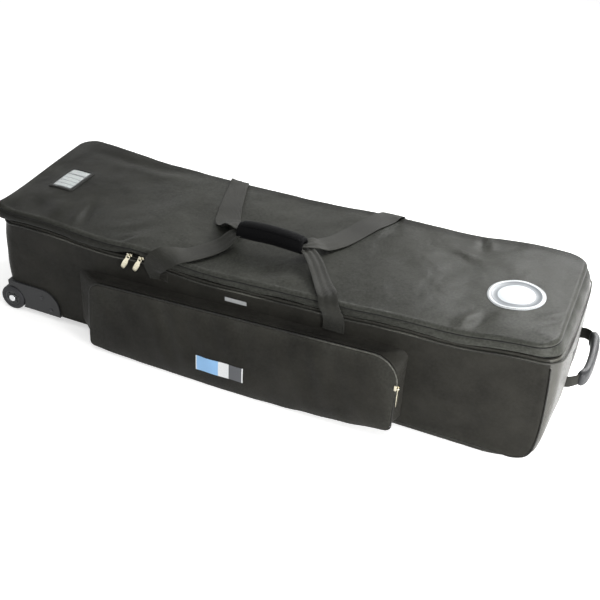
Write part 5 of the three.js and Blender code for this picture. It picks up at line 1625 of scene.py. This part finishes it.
        low_left, low_right, high_right, high_left = self.rounds
        low_z = self.bottom - self.drop + ends(low_left, low_right)
        high_z = self.top_wheel + (self.top_handle - self.top_wheel) / (right - left) * (x - left)
        high_z = high_z - ends(high_left, high_right)
        share = dense_ends(self.rows, 0.6)[:, None]
        z = low_z[None] * (1 - share) + high_z[None] * share
        xs = np.broadcast_to(x, z.shape)
        seam = PLAN.half_width + self.depth + self.zip_depth + 0.6 + self.away(xs, z)
        low, height = self.slumped(xs, z), self.face_height(xs, z)
        front, back = xyz(xs, -(seam + 3.4 + height), low), xyz(xs, -seam, low)
        around = rim_of(self.rows, self.columns)
        border, behind = front.reshape(-1, 3)[around], back.reshape(-1, 3)[around]
        solid = pillow(front, back, [border * 0.75 + behind * 0.25, border * 0.25 + behind * 0.75])
        edge = np.clip(1 - height.reshape(-1) / self.crown, 0, 1)
        solid.wear_and_light = np.zeros(len(solid.points))
        solid.wear_and_light[: len(edge)] = 0.5 * edge**4
        return solid

    def cord(self) -> Surface:
        """Edge cord round the face, with a painted highlight along its top at the handle side."""
        path = spline(self.stand(self.front(-1.5), self.depth + 10.6), 4.5, closed=True)
        cord = sweep(path, REARWARD, circle(1.6), closed=True)
        x, _, z = cord.points.T
        # painted highlight where the cord runs along the top and turns down at the handle side
        cord.wear_and_light = 0.9 * step(x, 90, 220) * step(z, 90, 120)
        return cord

    def zip_band(self) -> Surface:
        """Woven tape recessed between the gusset and the face."""
        plan, inner = self.front(3.0), self.front(5.0)
        near, far = self.depth - 0.6, self.depth + 9.2
        section = ((plan, near), (plan, near + 4.9), (plan, far), (inner, far), (inner, near))
        return tube([self.stand(ring, out) for ring, out in section])

    def teeth(self, offset: float) -> Surface:
        """Coil along the top and down the handle side, one bead for each pitch."""
        run = spline(self.stand(self.front(2.4), self.depth + 4.3 + offset)[60:], 2.6)
        along, across, out = directions(run, REARWARD)
        return scatter(bead(2.4, 1.9, 2.6), run, (across, along, out))

    def cloth(self, x: Array, z: Array) -> Array:
        """Where the face's cloth stands."""
        flat = z - self.belly(x) * (1 - self.up(x, z)) ** 1.3
        return PLAN.half_width + self.depth + 12.0 + self.away(x, flat) + self.face_height(x, flat)

    def plate(self, x: float, z: float, length: float, height: float,
              base: Callable[[Array, Array], Array]) -> Surface:
        """A thin plate lying on a surface that is given as y over x and z, tilted as the case's rim is."""
        v, u = np.meshgrid(np.linspace(-1, 1, 10), np.linspace(-1, 1, 24), indexing="ij")
        along, up = u * length / 2, v * height / 2
        px, pz = x + along - up * PLAN.slope, z + up + along * PLAN.slope
        y = base(px, pz)
        solid = pillow(xyz(px, -(y + self.plate_thickness), pz), xyz(px, -(y - 0.4), pz))
        flat = xyz(along + length / 2, up).reshape(-1, 2)
        solid.maps = [np.concatenate([flat, flat])[faces] * MM for faces in solid.faces]
        return solid

    def build(self) -> None:
        """Builds the pocket."""
        make = self.shop.make
        make("pocket_gusset_cloth", self.gusset(), BALLISTIC_NYLON, "nylon", Body.CASE, "pocket_gusset", fill=0.2)
        seam = -(PLAN.half_width + self.depth + self.zip_depth)
        bend = Bend(Body.CASE, Body.POCKET_FLAP, (0, seam, -8), (0, seam, 24))
        make("pocket_face_panel", self.face(), BALLISTIC_NYLON, "nylon", bend, "pocket_face", fill=0.4)
        make("pocket_edge_cord", self.cord(), PIPING, "piping", bend, "pocket_piping")
        make("pocket_zip_webbing", self.zip_band(), BINDING, "chain", Body.CASE, "pocket_zip", crisp=40)
        make("pocket_zip_coil", self.teeth(-1.2).plus(self.teeth(1.2)), ACETAL, "chain", Body.CASE)
        label = self.plate(-46, 44, 108, 36, self.cloth)
        make("pocket_label_sheet", label, POCKET_LABEL, "label", Body.POCKET_FLAP, "pocket_label", crisp=40)
        tag = self.plate(-38, 181, 48, 9, lambda x, z: PLAN.half_width + PLAN.wall_relief(x, z))
        make("front_tag_sheet", tag, WOVEN_TAG, "tag", Body.CASE, "front_tag", crisp=40)


# Sliders and pulls


@dataclass
class Hardware:
    """Cast zip sliders and their pull tabs: length, depth and height of a slider, length and width of a tab."""

    shop: Workshop
    main_x: tuple[float, float] = (-284.0, -256.0)
    main_size: Point = (12.0, 9.4, 8.0)
    main_tab: tuple[float, float] = (39.0, 11.5)
    main_slant: float = 27.0
    pocket_place: Point = (329.9, -220.3, 122.0)
    pocket_size: Point = (12.0, 6.6, 6.6)
    pocket_tab: tuple[float, float] = (46.0, 10.0)
    bar_out: float = 1.9

    def slider(self, length: float, depth: float, height: float) -> Surface:
        """A slider about its own middle: a rounded body with a waist, and the bridge that holds the tab.

        x runs along the zip and -y out of it. The body's section is a superellipse that narrows to one end.
        """
        u, (c, s) = np.linspace(-1, 1, 12)[:, None], squared(turns(28), 0.45)
        thick = depth / 2 + depth / 2 * c * (1 - 0.1 * np.abs(u) ** 8)
        wide = height / 2 * s * (1 - 0.16 * (u > 0) * u**2 - 0.12 * np.abs(u) ** 6)
        angle = np.linspace(0, np.pi, 16)
        arch = xyz(0, 0.4 - 4.3 * np.sin(angle), 3.4 * np.cos(angle))
        bridge = sweep(arch, np.array([1.0, 0, 0]), band(2.6, 1.5, 5))
        return capped_loft(xyz(u * length / 2, thick, wide)).plus(bridge)

    def pull(self, length: float, width: float) -> Surface:
        """A tab hanging from its bar: the section between its outline and its slot, carried round.

        The outline has a narrow neck, a wider blade and a round foot. The section's corners are eased.
        """
        t, bar, slot_half = turns(72), 0.7, (2.7, 3.1)
        z = bar - length * (0.5 - 0.5 * np.sin(t))
        neck = 1 - 0.26 * hump(z, -length * 0.3, length * 0.14)
        outer = xyz(squared(t, 0.36)[0] * width / 2 * neck, z)
        slot = xyz(*squared(t, 0.6)) * slot_half - (0, bar + slot_half[1])
        section = (
            (0.0, -0.35), (0.1, -0.7), (0.9, -0.7), (1.0, -0.35), (1.0, 0.35), (0.9, 0.7), (0.1, 0.7), (0.0, 0.35),
        )
        return tube([upright(outer * (1 - part) + slot * part, y) for part, y in section])

    def build(self) -> None:
        """Builds the sliders and tabs of both zips. The pocket's slider has its x out of the pocket."""
        p, make, flat = PLAN, self.shop.make, np.eye(3)
        c, s = math.cos(math.radians(self.main_slant)), math.sin(math.radians(self.main_slant))
        slant = np.array([[c, 0, -s], [0, 1, 0], [s, 0, c]])
        swap = np.array([[0, 0, 1.0], [-1.0, 0, 0], [0, 1.0, 0]])
        quarter = np.array([[0, 1.0, 0], [-1.0, 0, 0], [0, 0, 1.0]])

        def start(x: float) -> Array:
            """Where a slider of the main zip stands at rest."""
            gap = float(p.rim(np.float64(x), -p.half_width) + p.zip_gap / 2)
            return np.array([x + 2, -(p.half_width + 3.6), gap - 2])

        left, right = (start(x) for x in self.main_x)
        main = (self.main_tab, slant, (0, -self.bar_out, 0))
        pocket = (self.pocket_tab, quarter, (self.bar_out, 0, 0))
        for word, base, size, turn, (tab_size, tab_turn, tab_shift) in (
            ("left", left, self.main_size, flat, main),
            ("right", right, self.main_size, flat * (-1.0, 1, 1), main),
            ("pocket", np.array(self.pocket_place), self.pocket_size, swap, pocket),
        ):
            body = self.slider(*size).moved(lambda q: q @ turn + base)
            tab = self.pull(*tab_size).moved(lambda q: q @ tab_turn + base + tab_shift)
            for kind, name, surface in (("slider", "slider_casting", body), ("pull", "pull_tab", tab)):
                node, rider = f"{word}_zip_{kind}", Body(f"{word}_{kind}")
                make(f"{word}_{name}", surface, NICKEL, "nickel", rider, node, crisp=55)


# Carry loops and grips


@dataclass
class CarryLoops:
    """Two webbing loops, sewn low on the walls, laid over the lid and held by one padded wrap."""

    shop: Workshop
    lid: Lid
    width: float = 50.0
    thickness: float = 2.2
    foot_x: tuple[float, float] = (-214.0, 176.0)
    foot_rows: tuple[float, float] = (182.5, 203.0)
    grip: Point = (-11.0, -65.0, 280.4)
    grip_lift: float = 3.0
    grip_half: float = 72.0
    grip_arch: float = 4.5
    wrap_radii: tuple[float, float] = (20.2, 12.0)
    flap_half: float = 66.0
    flap_radius: float = 20.0
    flap_rise: float = 1.9
    flap_angles: tuple[float, float] = (-20.0, 128.0)

    def strap(self, stations: Array) -> Surface:
        """Webbing through stations: its width runs across the path and the way that it faces, path x facing.

        The webbing cups and folds lengthwise where it is gathered.

        Args:
            stations: Rows of x, y, z, then the way that it faces, then the width's share.

        Returns:
            The strap.
        """
        run = spline(stations, 5.0)
        path, facing, share = run[:, :3], run[:, 3:6], run[:, 6]
        wide = unit(np.cross(np.gradient(path, axis=0), facing))
        flat = band(self.width, self.thickness, 15)[None] * xyz(share, 1)[:, None]
        place = flat[..., 0] / np.maximum(share, 0.1)[:, None] / (self.width / 2)
        gather = ((1 - share) * step(path[:, 2], 222, 244))[:, None]
        fold = gather * (3.0 * place**2 + 2.2 * np.cos(2.5 * np.pi * place)) - gather * 1.5
        return sweep(path, wide, xyz(flat[..., 0], flat[..., 1] - fold))

    def stations(self, side: Side) -> Array:
        """The route of a loop as the photograph shows it, from its foot at the wheels' side to the other.

        Each station is x, y, z, the way that the webbing faces, and the width's share.
        """
        p, s = PLAN, side.value
        out, z = p.half_width + 2.2, self.grip[2]

        def climb(x: float, lean: float, share: float) -> list[tuple[float, ...]]:
            """Foot, rise over the rim and turn over the lid's edge."""
            top = float(p.lid_top(np.float64(x), s * p.half_width))
            return [
                (x, s * out, 180, 0, s, 0, 1), (x, s * out, 200, 0, s, 0, 1),
                (x + lean * 0.05, s * (out + 3.8), top - 35, 0, s, 0.05, 1),
                (x + lean * 0.2, s * (out + 9.6), top - 19, 0, s, 0.1, share),
                (x + lean * 0.5, s * (out + 9.4), top - 7, 0, s, 0.35, share),
                (x + lean * 0.8, s * (p.half_width + 1), top + 3.6, 0, 0.6 * s, 0.8, share),
            ]

        def on_lid(x: float, y: float, lift: float, share: float = 1, nx: float = 0, ny: float = 0) -> tuple:
            """A station above the lid's cloth."""
            return (x, y, float(self.lid.height(np.float64(x), np.float64(y))) + lift, nx, ny, 1, share)

        if side is Side.FRONT:
            route = [
                (-224, -out, 181, 0, -1, 0, 0.45), (-226, -out - 0.6, 194, 0, -1, 0, 0.62),
                (-225, -out - 5, 209, 0, -1, 0.1, 0.85), (-216, -out - 9.6, 226, 0, -1, 0.2, 0.97),
                (-200, -out - 8.6, 241, 0, -0.8, 0.6, 1), on_lid(-180, -174, 5.0, 1, 0, -0.35),
                on_lid(-154, -150, 4.0), on_lid(-130, -124, 6.0, 0.97), on_lid(-108, -97, 11.5, 0.88),
                (-90, -76, z - 9, 0, 0, 1, 0.75), (-77, -66, z - 3, 0, 0, 1, 0.6), (-7, -65, z - 3, 0, 0, 1, 0.6),
                (63, -66, z - 3, 0, 0, 1, 0.6), (82, -78, z - 7, 0, 0, 1, 0.64), (99, -95, z - 12, 0, 0, 1, 0.68),
                on_lid(117, -117, 10, 0.7), on_lid(140, -149, 6, 0.76),
            ] + [(*station[:6], min(station[6], 0.9)) for station in climb(176, -20, 0.8)[::-1]]
        else:
            route = climb(-212, 16, 0.84) + [
                on_lid(-192, 152, 3.4, 0.86), on_lid(-178, 104, 3.2, 0.92), on_lid(-164, 58, 3.2, 0.98),
                on_lid(-150, 18, 3.6, 1.05), on_lid(-142, -2, 5, 1.08), on_lid(-130, -18, 10, 1.0, -0.2, 0.3),
                (-108, -38, z - 7, -0.4, 0.6, 1, 0.8), (-84, -60, z, 0, 0.2, 1, 0.58), (-7, -65, z, 0, 0, 1, 0.56),
                (61, -62, z, 0, 0.2, 1, 0.56), (74, -42, z - 3, 0.6, 0.5, 1, 0.66), on_lid(86, -16, 11, 0.84, 0.4, 0.4),
                on_lid(102, 12, 5, 0.96, 0.1, 0.1), on_lid(122, 58, 3.4), on_lid(145, 110, 3.4), on_lid(165, 156, 3.6),
            ] + climb(176, -5, 1.0)[::-1]
        return np.array(route, float)

    def box_stitches(self, x: float, side: Side) -> Surface:
        """Box and cross stitching that holds a foot to the wall."""
        y, half, (low, high) = side.value * (PLAN.half_width + 3.4), self.width / 2 - 4, self.foot_rows
        corners = np.array([(x - half, low), (x + half, low), (x + half, high), (x - half, high)])
        share = np.linspace(0, 1, 8)[:, None]
        return functools.reduce(Surface.plus, [
            stitches(upright(corners[a] * (1 - share) + corners[b] * share, y), REARWARD, 3.0)
            for a, b in ((0, 1), (1, 2), (2, 3), (3, 0), (0, 2), (1, 3))
        ])

    def wrap(self) -> Surface:
        """Padded wrap: an oval tube along x whose section swells in the middle and is open at its ends."""
        x, turn = np.linspace(-1, 1, 46)[:, None], turns(40)
        swell = 1 - 0.1 * np.abs(x) ** 5
        middle_x, middle_y, middle_z = self.grip
        rows = []
        for share, r in zip((1.0, 0.55), self.wrap_radii):
            y = swell * (r * (1.02 + 0.03 * np.cos(turn))) * np.cos(turn)
            z = swell * (r * (0.96 - 0.1 * np.maximum(0, -np.sin(turn)))) * np.sin(turn)
            arched = z + middle_z + self.grip_lift - self.grip_arch * x**2
            skin = xyz(x * self.grip_half + middle_x, y + middle_y, arched)
            rows.append(skin + 0.5 * waves(skin, 55, 71)[..., None] * (0, 1, 1) * share)
        outer, inner = rows
        lips = [outer[k] * 0.5 + inner[k] * 0.5 + (out, 0, 0) for k, out in ((-1, 1.6), (0, -1.6))]
        return tube([*outer, lips[0], *inner[::-1], lips[1]])

    def flap(self) -> Surface:
        """The wrap's overlapping edge: a thin shell round part of the tube, with a turned end."""
        x = np.linspace(-1, 1, 40)[:, None] * self.flap_half
        angle = np.radians(np.linspace(*self.flap_angles, 22))
        radius = self.flap_radius + self.flap_rise * np.sin(np.linspace(0.2, np.pi - 0.02, 22)) ** 0.3
        swell = 1 - 0.1 * np.abs(x / 70) ** 5
        middle_x, middle_y, middle_z = self.grip
        arch = self.grip_lift - self.grip_arch * (x / self.grip_half) ** 2
        y = middle_y + swell * radius * 1.02 * np.cos(angle)
        z = middle_z + swell * radius * 0.97 * np.sin(angle) + arch
        top, core = xyz(x + middle_x, y, z), np.array([0, middle_y, 281])
        return pillow(top, (top - core) * (1, 0.93, 0.93) + core)

    def build(self) -> None:
        """Builds both loops and the wrap."""
        make = self.shop.make
        for side in Side:
            word, body, wall = side.word, side.body("loop"), side.value * PLAN.half_width
            bend = Bend(Body.CASE, body, (0, wall, 200), (0, wall, 212))
            strap = self.strap(self.stations(side))
            make(f"{word}_loop_webbing", strap, WEBBING, "webbing", bend, f"{word}_carry_loop", crisp=60)
            for number, x in enumerate(self.foot_x, 1):
                make(f"{word}_foot_stitches_{number}", self.box_stitches(x, side), THREAD, "tape", Body.CASE)
        make("carry_wrap", self.wrap(), NEOPRENE, "pad", Body.FRONT_LOOP, "carry_grip", fill=0.8)
        make("carry_wrap_flap", self.flap(), NEOPRENE, "pad", Body.FRONT_LOOP)


@dataclass
class EndHandle:
    """The padded handle on the end: webbing from a sewn patch, and a satin sleeve round its middle."""

    shop: Workshop
    height: float = 144.0
    half_span: float = 82.0
    tip: float = 657.0
    sleeve_start: float = 642.0
    sleeve_half: tuple[float, float] = (17.5, 8.6)
    patch_margin: float = 24.0
    patch_half: float = 20.0

    def wall_x(self, y: Array, z: Array) -> Array:
        """Where the end wall's cloth stands at a place."""
        p = PLAN
        return p.half_length + p.bulge(y, z, p.rim(np.float64(p.half_length)))

    def patch(self) -> Surface:
        """Reinforcing patch, a double layer of cloth that follows the bulge."""
        v, u = np.meshgrid(np.linspace(-1, 1, 14), np.linspace(-1, 1, 50), indexing="ij")
        y, z = u * (self.half_span + self.patch_margin), self.height + v * self.patch_half
        x = self.wall_x(y, z)
        return pillow(xyz(x + 2.3, y, z), xyz(x - 2.5, y, z))

    def route(self) -> Array:
        """Middle line of the handle, out from one root, along and back to the other."""
        root, tip = float(self.wall_x(np.float64(self.half_span), np.float64(self.height))), self.tip
        half = [
            (root - 1, self.half_span + 2, 0), (root + 11, self.half_span + 0.5, 3), (root + 21, self.half_span - 6, 5),
            (tip - 5.5, self.half_span * 0.74, 6), (tip - 0.6, self.half_span * 0.42, 5),
        ]
        line = [(x, -y, z) for x, y, z in half] + [(tip + 0.8, 0.0, 5)]
        line += [(x, y + 2, z + 4) for x, y, z in half[::-1]]
        return np.array(line) + (0, 0, self.height)

    def build(self) -> None:
        """Builds the handle."""
        make, path = self.shop.make, spline(self.route(), 3)
        make("end_patch_cloth", self.patch(), BALLISTIC_NYLON, "nylon", Body.CASE, "end_handle_patch", fill=0.1)
        strap = sweep(path, UP, band(25, 3.0, 9))
        bend = Bend(Body.CASE, Body.END_HANDLE, (621, 0, self.height), (635, 0, self.height))
        make("end_handle_strap", strap, WEBBING, "webbing", bend, "end_handle_webbing", crisp=60)
        core = path[path[:, 0] > self.sleeve_start]
        size = 1 - np.abs(np.linspace(-1, 1, len(core))) ** 20 * 0.4
        sleeve = sweep(core, UP, xyz(*squared(turns(28), 0.62)) * self.sleeve_half * size[:, None, None])
        make("end_handle_sleeve", sleeve, SATIN_VINYL, "pad", Body.END_HANDLE, "end_handle_pad", crisp=60, fill=0.85)


# The studio


@dataclass(frozen=True)
class Studio:
    """Pale floor, white surroundings, soft lamps and the camera at the photograph's angle.

    Lamps are (name, place, aim, size, watts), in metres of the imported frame.
    """

    lamps: tuple[tuple[str, Point, Point, float, float], ...] = (
        ("overhead_softbox", (0.2, -0.3, 2.9), (0.0, 0.0, 0.2), 2.6, 38.0),
        ("rear_softbox", (0.8, 1.6, 1.55), (0.5, 0.0, 0.25), 0.9, 80.0),
        ("front_softbox", (1.5, -0.9, 0.45), (0.55, -0.2, 0.1), 0.5, 29.0),
    )
    azimuth: float = 21.28
    elevation: float = 35.01
    roll: float = 3.25
    place: Point = (0.6732, -1.6596, 1.3770)
    focal_pixels: float = 1007.3
    frame_pixels: float = 600.0
    sensor: float = 36.0
    floor_half: float = 9.0

    def hold(self, data: bpy.types.ID, directions: Sequence[Array], place: Point) -> Object:
        """Adds a lamp or the camera, with its x, y and z along three directions, at a place."""
        holder = bpy.data.objects.new(data.name, data)
        turn = np.eye(4)
        turn[:3] = np.stack([*directions, place], 1)
        holder.matrix_world = Matrix(turn.tolist())
        bpy.context.scene.collection.objects.link(holder)
        return holder

    def surroundings(self) -> None:
        """White to the camera, to gloss and through clear sheet; a softer grey as light on the case."""
        world = bpy.data.worlds.new("surroundings")
        bpy.context.scene.world = world
        tree = blank(world)
        path = add(tree, "LightPath")
        seen = add(tree, "Math", {0: path["Is Camera Ray"], 1: path["Is Glossy Ray"]}, operation="MAXIMUM")
        clear = add(tree, "Math", {0: seen[0], 1: path["Is Transmission Ray"]}, operation="MAXIMUM")
        strength = add(tree, "MapRange", {"Value": clear[0], "To Min": 0.3, "To Max": 1.0})
        glow = add(tree, "Background", {"Color": "#ffffff", "Strength": strength[0]})
        add(tree, "OutputWorld", {"Surface": glow[0]})

    def floor(self) -> None:
        """Pale matt floor that glows a little to the camera, so that it reads as white but keeps shadows."""
        half = self.floor_half
        mesh = bpy.data.meshes.new("studio_floor")
        corners = [(-half, -half, 0), (half, -half, 0), (half, half, 0), (-half, half, 0)]
        mesh.from_pydata(corners, [], [(0, 1, 2, 3)])
        floor = bpy.data.objects.new("studio_floor", mesh)
        bpy.context.scene.collection.objects.link(floor)
        paint = bpy.data.materials.new("studio_floor_paint")
        tree = blank(paint)
        path = add(tree, "LightPath")
        seen = add(tree, "Math", {0: path["Is Camera Ray"], 1: path["Is Glossy Ray"]}, operation="MAXIMUM")
        glow = add(tree, "Math", {0: seen[0], 1: 0.55}, operation="MULTIPLY")
        look = {"Base Color": "#ececeb", "Roughness": 0.9, "Specular IOR Level": 0.0}
        look |= {"Emission Color": "#ffffff", "Emission Strength": glow[0]}
        add(tree, "OutputMaterial", {"Surface": add(tree, "BsdfPrincipled", look)[0]})
        mesh.materials.append(paint)

    def light(self) -> None:
        """Soft square lamps, each turned to its aim."""
        for name, place, aim, size, watts in self.lamps:
            lamp = bpy.data.lights.new(name, "AREA")
            lamp.shape, lamp.size, lamp.energy = "SQUARE", size, watts
            back = unit(np.array(place) - np.array(aim))
            right = unit(np.cross(UP, back))
            self.hold(lamp, (right, np.cross(back, right), back), place)

    def camera(self) -> None:
        """The photograph's camera: turned by azimuth, elevation and roll, with its focal length in pixels."""
        az, el, roll = (math.radians(a) for a in (self.azimuth, self.elevation, self.roll))
        back = np.array([math.sin(az) * math.cos(el), -math.cos(az) * math.cos(el), math.sin(el)])
        level_right = np.array([math.cos(az), math.sin(az), 0.0])
        level_up = np.cross(back, level_right)
        right = math.cos(roll) * level_right + math.sin(roll) * level_up
        up = -math.sin(roll) * level_right + math.cos(roll) * level_up
        view = bpy.data.cameras.new("photo_camera")
        view.sensor_fit, view.sensor_width = "HORIZONTAL", self.sensor
        view.lens = self.focal_pixels / self.frame_pixels * self.sensor
        bpy.context.scene.camera = self.hold(view, (right, up, back), self.place)

    def build(self) -> None:
        """Sets the studio up."""
        bpy.context.scene.view_settings.view_transform = "Standard"
        self.surroundings()
        self.floor()
        self.light()
        self.camera()


def main() -> None:
    """Builds the studio and the case's sub-assemblies in order."""
    logging.basicConfig(level=logging.INFO, format="%(name)s: %(message)s")
    Studio().build()
    shop = Workshop.from_frame(PLAN.overhang)
    log.info("case origin at %s mm", np.round(shop.origin, 3))
    lid = Lid(shop)
    for part in (Tub(shop), lid, MainZip(shop), RunningGear(shop), Pocket(shop), Hardware(shop)):
        part.build()
    CarryLoops(shop, lid).build()
    EndHandle(shop).build()
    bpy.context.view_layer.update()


if __name__ == "__main__":
    main()
